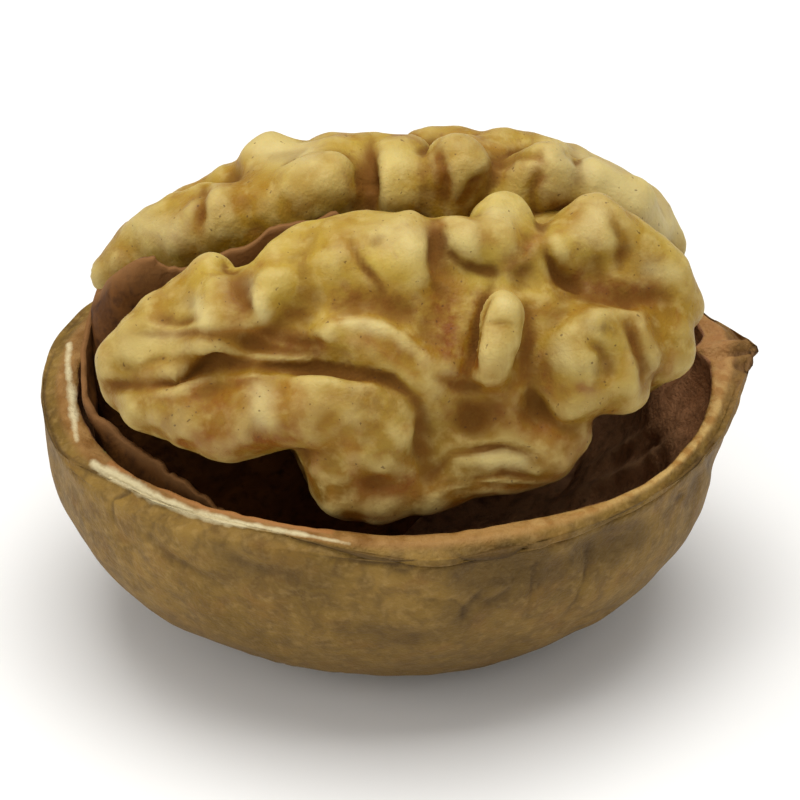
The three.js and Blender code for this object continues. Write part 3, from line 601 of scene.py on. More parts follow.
# %% Creases and ridges of the kernel
FRONT_GROOVES = [
    (0.42, 1.0, [[-18.5, -0.9], [-16.5, -0.95], [-13.4, -0.6], [-11.9, 0.0], [-10.7, 0.5], [-9.6, 0.4],
     [-5.9, 0.2]]),
    (0.32, 0.75, [[-12.0, 0.3], [-9.6, 0.4], [-5.9, 0.2], [-3.0, 0.0], [-0.5, -0.5], [0.5, -1.3], [1.2, -2.4]]),
    (0.45, 0.45, [[0.2, -0.8], [1.2, -2.4], [1.4, -3.5], [1.0, -4.7], [-0.6, -5.8]]),
    (0.45, 0.5, [[-16.0, 2.3], [-14.7, 2.1], [-11.9, 2.1], [-9.6, 1.7], [-7.8, 1.3], [-4.0, 1.0], [-2.2, 0.6]]),
    (0.5, 0.45, [[-8.6, 2.2], [-6.5, 1.7], [-4.5, 1.4], [-3.0, 0.9]]),
    (0.7, 0.7, [[-9.9, 7.0], [-9.6, 5.8], [-8.9, 3.6], [-8.6, 2.6]]),
    (0.45, 0.35, [[-14.6, 3.2], [-13.2, 2.9], [-11.4, 3.1]]), (0.35, 0.3, [[-3.1, 8.2], [-2.1, 6.1], [-0.8, 4.2]]),
    (0.5, 0.55, [[2.1, 9.6], [2.2, 7.0], [2.3, 5.0], [3.2, 3.6]]),
    (0.35, 0.45, [[2.2, 7.3], [3.4, 6.4], [4.6, 5.9], [6.0, 5.6]]), (0.35, 0.2, [[4.3, 9], [4.5, 7.5], [5, 6.3]]),
    (0.35, 0.45, [[5.5, 5.3], [4.8, 3.6], [4.4, 2.4], [4.3, -0.6]]),
    (0.22, 0.16, [[4.9, 2.75], [6.0, 2.7], [6.9, 2.5]]),
    (0.45, 0.5, [[7.2, 4.4], [7.5, 2.0], [7.2, 0.0], [6.2, -1.8]]),
    (0.45, 0.6, [[8.2, 8.8], [8.6, 6.6], [9.5, 5.3], [10.8, 4.6], [12.6, 4.7]]),
    (0.6, 0.6, [[8.6, 4.4], [10.6, 4.5], [12.5, 4.4], [16.2, 4.2]]),
    (0.45, 0.45, [[12.0, 9.9], [12.9, 7.5], [12.6, 5.4]]),
    (0.45, 0.5, [[13.2, 3.8], [13.9, 1.5], [14.3, 0], [14.1, -2.3]]),
    (0.4, 0.35, [[10.0, 2.3], [11.7, 1.1], [12.2, -0.6]]), (0.45, 0.35, [[1.6, -0.3], [3.2, -0.9], [5.0, -1.3]]),
    (0.5, 0.35, [[3.0, -2.0], [5, -2.7], [7.2, -3.0]]),
    (1.1, 0.4, [[2.2, -2.4], [4.6, -2.6], [7.6, -2.6], [9.6, -3.6]]),
    (0.3, 0.4, [[1.4, -6.6], [3, -4.9], [4.5, -4.6], [6, -4.5], [7.2, -4.7], [8.6, -5.5]]),
    (0.26, 0.4, [[2.4, -6.7], [6, -6.1], [8, -6.4], [9.4, -6.0]]),
    (0.26, 0.4, [[1.6, -7.6], [5, -6.7], [6.5, -6.9], [9.0, -6.7]]),
    (0.3, 0.2, [[-4.2, -8.2], [-2, -8.6], [-0.4, -8.5]]), (0.8, 0.35, [[-3.0, -6.2], [-1, -6.6], [0.9, -6.3]]),
]
FRONT_RIDGES = [
    (0.45, 0.3, [[-4.6, 2.6], [-2, 2.9], [-1, 2.5], [0, 1.9], [1, 1.0], [2.2, -0.2]]),
    (0.45, 0.18, [[2.6, -5.4], [5, -5.2], [7.6, -5.4]]), (0.35, 0.12, [[-11, 6.5], [-11, 4.5], [-11.4, 3.2]]),
    (0.35, 0.15, [[-8.8, 5.2], [-8.4, 3.7], [-7.6, 2.9]]), (0.3, 0.18, [[8.1, 8.0], [7.4, 6.5], [6.2, 5.9]]),
    (0.5, 0.3, [[-12.0, -0.8], [-8.5, -0.4], [-6.5, -0.5], [-4, -0.6], [-1.0, -1.3]]),
    (0.6, 0.25, [[-17.0, 0.6], [-14.5, 0.9], [-12.0, 1.2], [-10.0, 1.2]]),
]
REAR_GROOVES = [
    (0.45, 0.5, [[-11.2, 11.6], [-11.7, 9.6], [-11.6, 7.6]]), (0.5, 0.9, [[-1.7, 14.4], [-1.8, 11.5], [-1.6, 8.4]]),
    (0.65, 0.65, [[1.9, 14.2], [2.2, 11.4], [2.8, 9.0]]), (0.45, 0.5, [[5.6, 11.9], [4.2, 10.2], [3.2, 9.2]]),
    (0.4, 0.35, [[4.9, 11.5], [6.5, 12.6], [7.9, 12.7], [8.7, 11.5]]),
    (0.45, 0.4, [[8.2, 12.2], [7.6, 10.4], [7.7, 8.8]]), (0.55, 0.4, [[9.7, 14.0], [10.2, 11.5], [10.8, 9.6]]),
]
print(len(FRONT_GROOVES) + len(REAR_GROOVES), "creases,", len(FRONT_RIDGES), "ridges")

# %% [markdown]
# The skin's stains are drawn in the same way, with painted shade and painted highlights among them, each with a
# strength from 0 to 1: brown where it is thick or bruised, and brown as painted shade under overhanging folds; grey
# painted shade in the shadow of a fold; pinkish along its edges; and pale painted highlights on the swellings.

# %% Stains, painted shade and painted highlights of the kernel
# Brown stains, and brown painted shade under overhanging folds and on the skirt's shadowed side.
BROWN_STAINS_AND_SHADE = [
    (0.9, 0.7, [[-11.8, -1.6], [-10.2, -1.8]]), (0.6, 0.6, [[-9.5, -0.7], [-8.5, -0.9]]),
    (0.8, 0.7, [[-8.0, 1.8], [-5.0, 1.3]]), (0.7, 0.5, [[-9.4, -4.6], [-8.6, -3.4]]),
    (0.9, 0.7, [[9.8, 5.4], [11.0, 5.0], [13.0, 4.6], [14.4, 4.5]]), (0.45, 0.8, [[10.5, -1.0], [10.9, -1.1]]),
    (1.0, 0.6, [[-3.2, 4.3], [-0.5, 3.7], [1.5, 3.4]]), (0.5, 0.8, [[4.6, 4.2], [4.2, 2.4], [4.2, 0.4]]),
    (0.7, 0.5, [[3.6, -1.0], [6.8, -1.6]]), (0.9, 0.5, [[3.0, -2.2], [6.8, -2.9], [10.0, -4.0]]),
    (0.9, 0.8, [[-2.0, -6.5], [0.2, -6.6]]), (0.5, 0.6, [[2.1, 8.6], [2.2, 5.4]]),
    (0.5, 0.6, [[7.4, 2.2], [7.2, -0.6]]), (0.8, 0.6, [[6.6, 6.4], [7.4, 7.2]]),
    (1.2, 0.8, [[2.4, 3.8], [2.9, 1.6], [3.4, -0.4]]), (1.0, 0.5, [[-1.8, 2.0], [1.4, 0.8]]),
    (1.2, 0.8, [[-12.5, -4.0], [-9.0, -4.4], [-6.6, -3.8]]), (1.8, 0.35, [[-9.0, -2.6], [-2.0, -3.0]]),
    (1.2, 0.5, [[-14.0, -1.0], [-11.6, 0.0]]), (0.9, 0.5, [[-9.8, 5.0], [-9.4, 3.2]]),
    (0.8, 0.5, [[-5.0, -4.3], [-5.3, -6.0]]), (0.5, 0.6, [[8.4, -1.2], [8.2, 0.8]]),
    (0.5, 0.8, [[-3.0, -8.7], [1.0, -8.6], [5.0, -7.5], [8.2, -7.1], [9.6, -6.2]]),
    (0.8, 0.8, [[10.4, -5.0], [12.4, -3.0]]), (0.9, 0.5, [[-13.8, -3.4], [-10.6, -4.6], [-8.6, -4.4]]),
    (0.5, 0.5, [[-3.8, -3.4], [-2.6, -4.6], [-2.8, -5.8]]),
]
# Grey painted shade in the shadows of folds, and one grey blotch.
GREY_SHADE_AND_BLOTCH = [
    (0.7, 0.6, [[11.2, 2.7], [12.2, 2.5]]), (0.7, 0.5, [[10.6, 0.3], [11.4, 0.1]]),
    (0.45, 0.6, [[13.5, 2.6], [14.2, 0.2]]), (0.45, 0.6, [[12.3, 8.5], [13.0, 7.0]]),
    (0.6, 0.5, [[-12.9, -2.5], [-13.4, -3.2]]), (0.45, 0.6, [[4.0, 6.3], [5.3, 5.8]]),
    (1.0, 0.35, [[-2.5, -1.6], [0.2, -2.0]]),
]
PINK_STREAKS = [
    (0.15, 0.5, [[-10.6, 0.75], [-8.5, 0.6], [-6.5, 0.45]]), (0.2, 0.4, [[-4.0, 1.8], [-1.5, 1.5], [0.8, -0.3]]),
    (0.3, 0.6, [[8.1, 8.0], [7.5, 6.6], [6.2, 5.9]]), (0.35, 0.5, [[15.7, 1.0], [15.6, 0]]),
    (0.3, 0.5, [[-13.6, 2.2], [-9.0, 2.2], [-6.0, 1.9]]), (0.25, 0.4, [[-3.1, 7.2], [-1.0, 4.6]]),
]
# Painted highlights on the swellings of the front lobe.
PAINTED_HIGHLIGHTS = [
    (0.6, 0.7, [[-12.0, 3.9], [-11.4, 3.0]]), (0.4, 0.7, [[-8.9, 5.2], [-8.4, 3.8], [-7.8, 3.0]]),
    (0.7, 0.6, [[-8.0, -1.5], [-8.0, -2.8]]), (0.4, 0.6, [[-3.0, 2.8], [-1.0, 2.3]]),
    (1.2, 0.5, [[-0.6, 7.9], [1.0, 7.4]]), (0.7, 0.5, [[2.9, 7.6], [3.6, 7.4]]),
    (0.8, 0.5, [[5.4, 9.2], [6.4, 9.3]]), (0.8, 0.5, [[11.4, 9.2], [10.8, 8.0]]),
    (0.6, 0.5, [[14.4, 5.9], [15.8, 5.7]]), (0.6, 0.5, [[9.4, 1.2], [9.6, 0.6]]),
    (0.5, 0.6, [[6.0, 4.1], [6.2, 3.7]]), (0.6, 0.5, [[5.0, -5.2], [7.0, -5.3]]),
    (0.9, 0.4, [[-15.6, 1.5], [-13.4, 1.9]]),
]
REAR_BROWNS = [
    (0.8, 0.6, [[1.9, 12.4], [2.4, 10.4]]), (0.9, 0.5, [[5.4, 11.8], [7.6, 11.9]]),
    (0.8, 0.6, [[9.0, 9.6], [8.4, 11.0]]), (0.5, 0.6, [[4.9, 11.0], [3.6, 9.8]]),
    (0.9, 0.5, [[-13.0, 8.0], [-11.8, 9.2]]), (0.6, 0.5, [[-3.0, 11.2], [-2.4, 10.0]]),
    (0.5, 0.7, [[0.0, 13.9], [1.0, 13.6]]), (0.7, 0.4, [[3.8, 13.5], [4.6, 13.2]]),
]
REAR_PINKS = [
    (0.45, 0.8, [[-1.7, 12.8], [-1.8, 9.6]]), (0.5, 0.4, [[2.5, 11.6], [2.9, 10.8]]),
]
# Painted highlights on the swellings of the rear lobe.
REAR_PAINTED_HIGHLIGHTS = [
    (1.1, 0.7, [[-8.0, 13.2], [-5.6, 12.8]]), (0.9, 0.5, [[-14.8, 8.6], [-13.4, 8.2]]),
    (1.4, 0.8, [[9.8, 12.6], [13.0, 10.6], [15.4, 8.6]]), (0.7, 0.4, [[-0.2, 12.6], [0.4, 12.0]]),
]
print(len(BROWN_STAINS_AND_SHADE + GREY_SHADE_AND_BLOTCH + PINK_STREAKS + PAINTED_HIGHLIGHTS + REAR_BROWNS + REAR_PINKS + REAR_PAINTED_HIGHLIGHTS), "stains_and_painted_light")

# %% [markdown]
# A stroke would also mark what lies behind the surface that it was drawn on. So each is kept to the side that
# faces the eye, and to its own lobe. The far side was not seen and has no strokes: winding furrows run over it
# instead, where a noise passes through zero. Last, noise at three sizes adds soft swellings all over.

# %% Relief of the kernel
FURROW_DEPTH, FURROW_SIZE, FURROW_SHARPNESS = 0.85, 4.4, 0.4
SWELLINGS = [(0.26, 3.1, 1), (0.17, 1.5, 2), (0.07, 0.8, 9)]  # height in mm, size in mm, seed
ASKEW = np.array([[0.8, 0.6, 0], [-0.48, 0.64, 0.6], [0.36, -0.48, 0.8]])  # a turn, to hide the noise's own grid
towards_eye = smoothstep(normals_of(kernel_points, kernel_faces) @ FROM_FRONT["back"], -0.1, 0.3)
rear_lobe = smoothstep(kernel_points[:, 1], -0.2, 0.6)
front_seen, rear_seen = towards_eye * (1 - rear_lobe), towards_eye * rear_lobe


def both(front, rear, taper=0.0):
    """Strokes of the front lobe and of the rear one, each kept to its own lobe's near side."""
    return front_seen * drawn(kernel_points, front, taper) + rear_seen * drawn(kernel_points, rear, taper)


crease = both(FRONT_GROOVES, REAR_GROOVES, 1.0) * (0.8 + 0.5 * noise(kernel_points, 1.7, 31))
behind = (1 - towards_eye) * smoothstep(kernel_points[:, 1], 1, 5) * (1 - smoothstep(kernel_points[:, 2], 4, 8))
askew = kernel_points @ ASKEW
askew += 1.5 * np.stack([noise(askew, 3.3, seed) for seed in (61, 62, 63)], 1)
from_furrow = np.minimum(1, np.abs(noise(askew, FURROW_SIZE, 51)) / FURROW_SHARPNESS)
crease += FURROW_DEPTH * behind * (1 - np.sqrt(from_furrow))
# The drawn stains together with the drawn painted shade and painted highlights.
stains_and_painted_light = {
    "brown": both(BROWN_STAINS_AND_SHADE, REAR_BROWNS), "grey": both(GREY_SHADE_AND_BLOTCH, []),
    "pink": both(PINK_STREAKS, REAR_PINKS), "pale": both(PAINTED_HIGHLIGHTS, REAR_PAINTED_HIGHLIGHTS),
}
swelling = sum(height * noise(kernel_points, size, seed) for height, size, seed in SWELLINGS)
swelling += both(FRONT_RIDGES, [], 1.0) - crease
kernel_points = kernel_points + normals_of(kernel_points, kernel_faces) * swelling[:, None]
kernel_normals = normals_of(kernel_points, kernel_faces)
kernel_hollow = hollowness(kernel_points, kernel_faces, kernel_normals, 10)
kernel_valley = hollowness(kernel_points, kernel_faces, kernel_normals, 60)
print("hollowness from", kernel_hollow.min().round(2), "to", kernel_hollow.max().round(2), "mm")

# %% [markdown]
# Two measures of hollowness go with the points, both as shares: a narrow one for creases, and one over a wide
# neighbourhood for the valleys between folds. The skin's finish paints shade by them in the hollows and highlight
# on what stands out. `low` grows towards the bottom, where the skin is browner, partly as painted shade.

# %% The kernel
kernel = add_piece(
    "kernel_folds", kernel_points, kernel_faces,
    {
        # hollow, crease and valley carry painted shade and painted highlight; low carries painted shade towards the
        # bottom
        "hollow": np.clip(kernel_hollow / 0.12, -1, 1), "crease": np.clip(crease / 0.4, 0, 1),
        "valley": np.clip(kernel_valley / 0.5, -1, 1), "low": 1 - smoothstep(kernel_points[:, 2], -4, 13),
        **stains_and_painted_light,
    },
    replaces="kernel",
)

# %% [markdown]
# ## The shell
# A lathe's surface, bent to the nut's outline: each row is a level ring, from the flat spot up the outside,
# over the rim and down the inside. Shallow dents and a raised bead along the seam are added to the rings
# outside. The rim's outer edge is worn round. The rim broke when the nut was opened, so it is uneven, and at
# the front left its edge chipped off outwards and left a slanting pale face.

# %% Rings of the shell
SPOKES = 480
SHOULDER = 0.45  # how far the rim's outer edge is rounded down, mm
around = np.linspace(0, 2 * math.pi, SPOKES, endpoint=False)


def rim_height(angle):
    """A slow wave, a dip at the front, and a rise towards the point."""
    dip = np.exp(-((np.arctan2(np.sin(angle + math.pi / 2), np.cos(angle + math.pi / 2)) / 0.4) ** 2))
    return 0.25 * np.sin(3 * angle + 0.6) - 0.5 * dip + 0.3 * near_point(angle, 0.3)


def relief(angle, z):
    """Two sine waves multiplied, round the nut and down it, fading to nothing at the bottom."""
    across, down = np.sin(4 * angle + 2 * np.sin(z / 4)), np.sin(z / 2.6 + 2 * np.sin(2 * angle))
    return DIMPLES * across * down * (1 + z / RIM)


def chipped(angle):
    """1 along the front left of the rim, where its outer edge broke away, and 0 elsewhere."""
    degrees = np.degrees(angle) % 360
    return smoothstep(degrees, 192, 212) * (1 - smoothstep(degrees, 238, 268))


def bead_at(angle):
    """How far the seam's bead stands out: more on the front side of the point."""
    return BEAD + BEAD_AT_POINT * near_point(angle + 0.3, 0.4)


def ring(z, share, inset, pointed, lift):
    """One level ring at height z: the rim's outline drawn in by the inset and scaled by the share."""
    x, y = rim_outline(around, inset, pointed)
    return np.stack([x * share, y * share, z + lift + np.zeros(SPOKES)], 1)


def outside_rings(count):
    """From the bottom's middle to the rim. The rows stand closer together towards the rim, where the seam's
    narrow bead and the groove under it are."""
    round_depth = RIM + FLAT_SPOT
    first = math.acos(RIM / round_depth)
    rings = [ring(-RIM, narrowing(RIM, round_depth) * share, 0, 0, 0) for share in (0.25, 0.5, 0.75)]
    whole = 1 - chipped(around)
    for t in np.linspace(0, 1, count):
        z = -round_depth * math.cos(first + (math.pi / 2 - first) * (1 - (1 - t) ** 1.7))
        belly = BELLY * np.cos(around) ** 2 * math.sin(-math.pi * z / RIM)
        bead = bead_at(around) * (0.55 * smoothstep(z, -3.2, -1.2) + 0.45 * smoothstep(z, -1.0, -0.75))
        groove = 0.16 * math.exp(-((z + 1.0) / 0.16) ** 2)
        fallen = chipped(around) * smoothstep(z, -1.1, -0.1)
        inset = (groove - bead) * (0.1 + 0.9 * whole) - relief(around, z) - belly + 0.8 * fallen
        worn = 0.35 * fallen + SHOULDER * whole * smoothstep(z, -1, 0)
        lift = rim_height(around) * smoothstep(z, -5, 0) - worn
        rings.append(ring(z, narrowing(z, round_depth), inset, smoothstep(z, -POINT_HEIGHT, 0), lift))
    return rings


def rim_rings(count):
    """Across the broken rim, from its outer edge to its inner one. The outer edge is rounded down over more than
    half of the way, and at the chip the whole rim slants."""
    chip = chipped(around)
    outer, inner = 0.9 * chip - bead_at(around) * (1 - 0.9 * chip) + 0.08, rim_wall(around) - 0.08
    rings = []
    for t in np.linspace(0, 1, count):
        drop = 0.35 * chip * (1 - t) ** 1.5 + 0.1 * (2 * t - 1) ** 6
        drop = drop + SHOULDER * (1 - chip) * (1 - smoothstep(t, 0, 0.6))
        rings.append(ring(0, 1, outer + (inner - outer) * t, 1 - t, rim_height(around) - drop))
    return rings


def inside_rings(count):
    """Down the inner wall, from the rim to the bottom of the cavity. Below the thin lip it thickens to the wall."""
    rings = []
    for turn in np.linspace(math.pi / 2, 0, count + 1)[:-1]:
        z = -CAVITY_DEPTH * math.cos(turn)
        inset = wall_at(around) + (rim_wall(around) - wall_at(around)) * smoothstep(z, -4.5, -1)
        lift = rim_height(around) * smoothstep(z, -5, 0) - 0.15 * smoothstep(z, -0.5, 0)
        rings.append(ring(z, narrowing(z, CAVITY_DEPTH), inset, 0, lift))
    return rings


parts = [outside_rings(110), rim_rings(20), inside_rings(60)]
shell_rings = [row for part in parts for row in part]
print(len(shell_rings), "rings")

# %% [markdown]
# The rings are joined into one closed surface. The two middles, of the bottom outside and of the bottom
# inside, get a point of their own, and the last rings close round it. Two corners of those faces fall
# together. Which ring a point came from tells later whether it is outside, on the rim or inside.


# %% Close the shell
def closed_from_rings(rings):
    """Points and faces of a closed surface: rings joined in order, and a middle point at either end."""
    rows, columns = len(rings), len(rings[0])
    points = np.concatenate([*rings, [rings[0].mean(0)], [rings[-1].mean(0)]])
    number = np.arange(rows * columns).reshape(rows, columns)
    after = np.roll(number, -1, axis=1)
    faces = np.stack([number[:-1], after[:-1], after[1:], number[1:]], -1).reshape(-1, 4)
    first, last = rows * columns, rows * columns + 1
    start = np.stack([number[0, ::2], np.full(columns // 2, first), after[0, 1::2], after[0, ::2]], 1)
    end = np.stack([number[-1, ::2], after[-1, ::2], after[-1, 1::2], np.full(columns // 2, last)], 1)
    return points, np.concatenate([faces, start, end])


shell_points, shell_faces = closed_from_rings(shell_rings)
shell_normals = normals_of(shell_points, shell_faces)
row = np.arange(len(shell_rings)).repeat(SPOKES)
row = np.concatenate([row, [0, len(shell_rings) - 1]])
first_rim, first_inside = len(parts[0]), len(parts[0]) + len(parts[1])
is_inside = smoothstep(row, first_inside - 2, first_inside + 1)
shell_angle = np.concatenate([np.tile(around, len(shell_rings)), [0, 0]])
chip = chipped(shell_angle)
is_rim = smoothstep(row, first_rim + 4 - 6 * chip, first_rim + 10 - 9 * chip) * (1 - is_inside)
outside = 1 - is_inside - is_rim
print("outward at the bottom:", shell_normals[0].round(2))

# %% [markdown]
# The shell's dents and the wrinkles of its lining are drawn as they are seen, as on the kernel. So are its
# stains and the pale stripes and orange bands along the chip.

# %% Strokes on the shell
OUTSIDE_MARKS = [
    (0.9, 0.5, [[3.5, -11.8], [6.5, -11.0], [9.0, -11.6]]), (0.28, 0.2, [[3.0, -14.8], [4.6, -12.9], [5.4, -11.9]]),
    (0.25, 0.18, [[3.8, -13.6], [5.6, -13.2], [7.0, -12.1]]),
    (0.8, 0.35, [[9.6, -10.8], [11.8, -10.2], [13.8, -9.2]]), (0.3, 0.2, [[7.9, -12.0], [8.2, -12.6]]),
    (0.5, 0.14, [[-5.0, -12.2], [-8.0, -11.6], [-11.5, -10.2]]),
    (0.5, 0.14, [[-3.0, -15.2], [1.0, -15.4], [4.0, -15.0]]),
    (0.18, 0.16, [[15.9, -7.6], [16.4, -7.2], [16.7, -7.0]]), (0.16, 0.14, [[16.2, -6.9], [16.4, -7.2]]),
    (0.25, 0.16, [[-0.6, -11.1], [-0.2, -11.6], [0.4, -11.7], [1.0, -11.1]]),
    (0.35, 0.16, [[17.3, -4.5], [17.2, -6.2], [16.6, -8.4]]), (0.35, 0.16, [[18.0, -4.3], [17.8, -6.0]]),
    (0.25, 0.14, [[-16.0, -8.4], [-13.0, -11.0], [-10.0, -12.6]]),
]
OUTSIDE_RIDGES = [
    (0.3, 0.16, [[8.3, -10.6], [8.2, -11.6], [8.2, -12.6]]),
    (0.4, 0.14, [[17.7, -4.4], [17.5, -6.2], [16.9, -8.2]]),
    (0.3, 0.12, [[2.6, -11.6], [2.8, -12.6], [2.0, -13.8]]),
    (0.5, 0.14, [[9.6, -10.0], [10.2, -11.0], [9.8, -12.0]]),
]
INSIDE_RIDGES = [
    (0.35, 0.45, [[8.8, -7.8], [11.5, -6.6], [14.0, -5.4], [16.0, -3.6]]),
    (0.25, 0.35, [[14.6, -4.4], [14.9, -5.4]]), (0.3, 0.3, [[11.0, -5.6], [12.6, -4.6], [14.8, -3.2]]),
    (0.25, 0.35, [[-6.2, -8.6], [-6.0, -7.2], [-5.8, -6.0]]),
    (0.3, 0.3, [[-12.0, -6.0], [-9.6, -7.0], [-8.0, -8.0]]),
]
INSIDE_SLITS = [
    (0.16, 0.5, [[14.0, -3.9], [15.0, -4.2]]), (0.2, 0.5, [[9.0, -7.0], [10.2, -5.2]]),
    (0.16, 0.4, [[-5.9, -6.2], [-5.2, -7.6], [-4.9, -8.8]]),
]
CREAM_STRIPES = [
    (0.3, 1.0, [[-17.7, -5.4], [-17.0, -5.9]]), (0.42, 1.0, [[-17.0, -5.8], [-15.6, -6.5], [-14.0, -7.4]]),
    (0.34, 1.0, [[-14.0, -7.4], [-12.0, -8.2], [-10.0, -8.7]]), (0.22, 1.0, [[-10.0, -8.7], [-8.0, -9.05]]),
    (0.19, 0.85, [[-8.0, -9.05], [-5.5, -9.5]]), (0.15, 0.7, [[-5.5, -9.5], [-3.0, -10.0]]),
    (0.24, 0.8, [[-19.1, 1.6], [-19.2, 0.8], [-19.15, -0.3], [-19.0, -1.0]]),
    (0.36, 0.8, [[-19.0, -0.9], [-18.9, -2.0], [-18.85, -2.6]]), (0.22, 0.8, [[-18.85, -2.5], [-18.7, -3.9]]),
]
GREEN_PATCH = [
    (0.34, 1.0, [[-16.9, -4.5], [-16.1, -4.9], [-15.3, -5.2]]),
]
OUTSIDE_STAINS = [
    (1.4, 0.8, [[4.0, -11.8], [8.4, -11.3]]), (1.0, 0.6, [[3.0, -14.2], [6.5, -12.8]]),
    (1.1, 0.6, [[10.4, -10.6], [13.6, -9.4]]), (1.5, 0.45, [[-10.0, -11.0], [-5.0, -12.4]]),
    (1.2, 0.4, [[-2.0, -14.6], [0.5, -15.6]]),
]
BEAK_GROOVES = [
    (0.2, 0.4, [[17.6, 0.8], [19.25, 1.15], [20.8, 1.5]]), (0.25, 0.3, [[17.2, 2.3], [18.6, 2.1], [20.0, 1.9]]),
]
BEAK_RIDGES = [
    (0.22, 0.3, [[16.8, 1.2], [18.6, 1.45], [19.8, 1.65], [21.2, 1.85]]),
    (0.22, 0.25, [[17.8, 0.2], [19.5, 0.85], [21.0, 1.2]]),
]
ORANGE_BANDS = [
    (0.35, 1.0, [[-16.6, -5.4], [-15.0, -5.9], [-13.0, -7.0], [-11.0, -7.9]]),
    (0.24, 1.0, [[-11.0, -7.9], [-8.0, -8.6], [-4.0, -9.3]]),
]
print(len(OUTSIDE_MARKS), "dents and", len(INSIDE_RIDGES), "wrinkles drawn")

# %% [markdown]
# Fine relief that nobody could draw is noise: shallow dents with branching veins outside, wrinkles inside, and
# a rough break along the rim. The point is fibrous, so its noise is drawn out along the nut.

# %% Dents, wrinkles and the broken rim
facing = smoothstep(shell_normals @ FROM_FRONT["back"], -0.2, 0.2)
near_side = smoothstep(-shell_points[:, 1], -8, -5)
marks = outside * facing * drawn(shell_points, OUTSIDE_MARKS, 0.8)
ridges = outside * facing * drawn(shell_points, OUTSIDE_RIDGES, 0.8)
ridges += is_inside * drawn(shell_points, INSIDE_RIDGES, 0.6)
ridges += (1 - is_inside) * facing * drawn(shell_points, BEAK_RIDGES, 0.5)
slits = is_inside * drawn(shell_points, INSIDE_SLITS, 0.6)
slits += (1 - is_inside) * facing * drawn(shell_points, BEAK_GROOVES, 0.5)
beak = near_point(shell_angle, 0.3) * smoothstep(shell_points[:, 2], -5, -1)
veins = 1 - smoothstep(np.abs(noise(shell_points * [1, 1, 0.6], 3.4, 41)), 0, 0.12)
veins *= smoothstep(noise(shell_points, 4.5, 42), -0.1, 0.5)
broken = is_rim * (0.10 * noise(shell_points, 0.8, 3) + 0.10 * noise(shell_points, 2.0, 4))
broken += (1 - is_inside) * beak * 0.22 * noise(shell_points * [0.4, 1, 1], 0.7, 13)
dents = outside * (0.22 * noise(shell_points, 3.6, 5) + 0.09 * noise(shell_points, 1.4, 6) - 0.12 * veins)
dents *= smoothstep(shell_points[:, 2], -RIM, -RIM + 2)
wrinkles = is_inside * (0.12 * noise(shell_points, 1.5, 7) + 0.07 * noise(shell_points, 0.7, 8))
shell_points = shell_points + shell_normals * (broken + dents + wrinkles + ridges - marks - slits)[:, None]
shell_normals = normals_of(shell_points, shell_faces)
shell_hollow = hollowness(shell_points, shell_faces, shell_normals, 12)
on_rim = smoothstep(shell_points[:, 2], -1.3, -0.6) * near_side
print("relief from", (broken + dents - marks - slits).min().round(2), "mm")

# %% [markdown]
# The values that go with the shell's points say where its outside, rim and lining are, where the rim is freshly
# broken, and where the strokes lie.

# %% The shell
stained = outside * facing * drawn(shell_points, OUTSIDE_STAINS)
green = near_side * (1 - outside) * smoothstep(shell_points[:, 2], -4, -3) * drawn(shell_points, GREEN_PATCH)
shell = add_piece(
    "shell_half", shell_points, shell_faces,
    {
        "inside": is_inside, "rim": is_rim, "ridge": ridges * is_inside / 0.4,
        "cream": on_rim * drawn(shell_points, CREAM_STRIPES), "orange": on_rim * drawn(shell_points, ORANGE_BANDS),
        # hollow and mark darken the outside in its dents with painted shade; mark also carries the drawn stains
        "hollow": np.clip(shell_hollow / 0.1, -1, 1), "mark": np.clip(marks / 0.25 + stained, 0, 1),
        # low darkens the outside towards the bottom with painted shade; deep lightens the lining further down with
        # painted fill light
        "low": 1 - smoothstep(shell_points[:, 2], -14, -4), "deep": smoothstep(-shell_points[:, 2], 1, 7),
        "beak": beak, "fresh": near_point(shell_angle + 0.55, 0.6), "green": green,
    },
    replaces="shell",
)

# %% [markdown]
# ## The partition
# Between the lobes stands a brown papery sheet, and at the front left the shell's lining, of the same stuff,
# has peeled off and its upper edge curls inwards. Both are sheets a third of a millimetre thick here. Each is a
# grid of two parameters, along the sheet and up it, whose line on the ground and heights pass through a few
# points: X, Y, the top and the bottom. The torn upper edge is noise added to the height, and crumples are noise
# added across the sheet.

# %% Paper sheets
SHEET = 0.32  # the tissue's thickness, mm
CRUMPLE = 0.12
LINING = np.array([
    [-17.5, 3.4, 5.2, -4], [-17.85, 0.8, 2.6, -5], [-17.8, -1.6, 1.0, -5.5], [-17.1, -4.4, 0.3, -5.5],
    [-15.7, -7.1, -0.2, -5.5], [-13.7, -9.5, -0.6, -5], [-11.3, -11.4, -1.2, -4],
])


def through(stations, count):
    """A smooth line through the stations, at even steps: between two of them, the cubic that leaves each in the
    direction of the one after it from the one before."""
    t = np.linspace(0, len(stations) - 1, count)
    i = np.minimum(t.astype(int), len(stations) - 2)
    f = (t - i)[:, None]
    padded = np.concatenate([[2 * stations[0] - stations[1]], stations, [2 * stations[-1] - stations[-2]]])
    a, b, c, d = (padded[i + k] for k in range(4))
    return b + 0.5 * f * (c - a + f * (2 * a - 5 * b + 4 * c - d + f * (3 * (b - c) + d - a)))


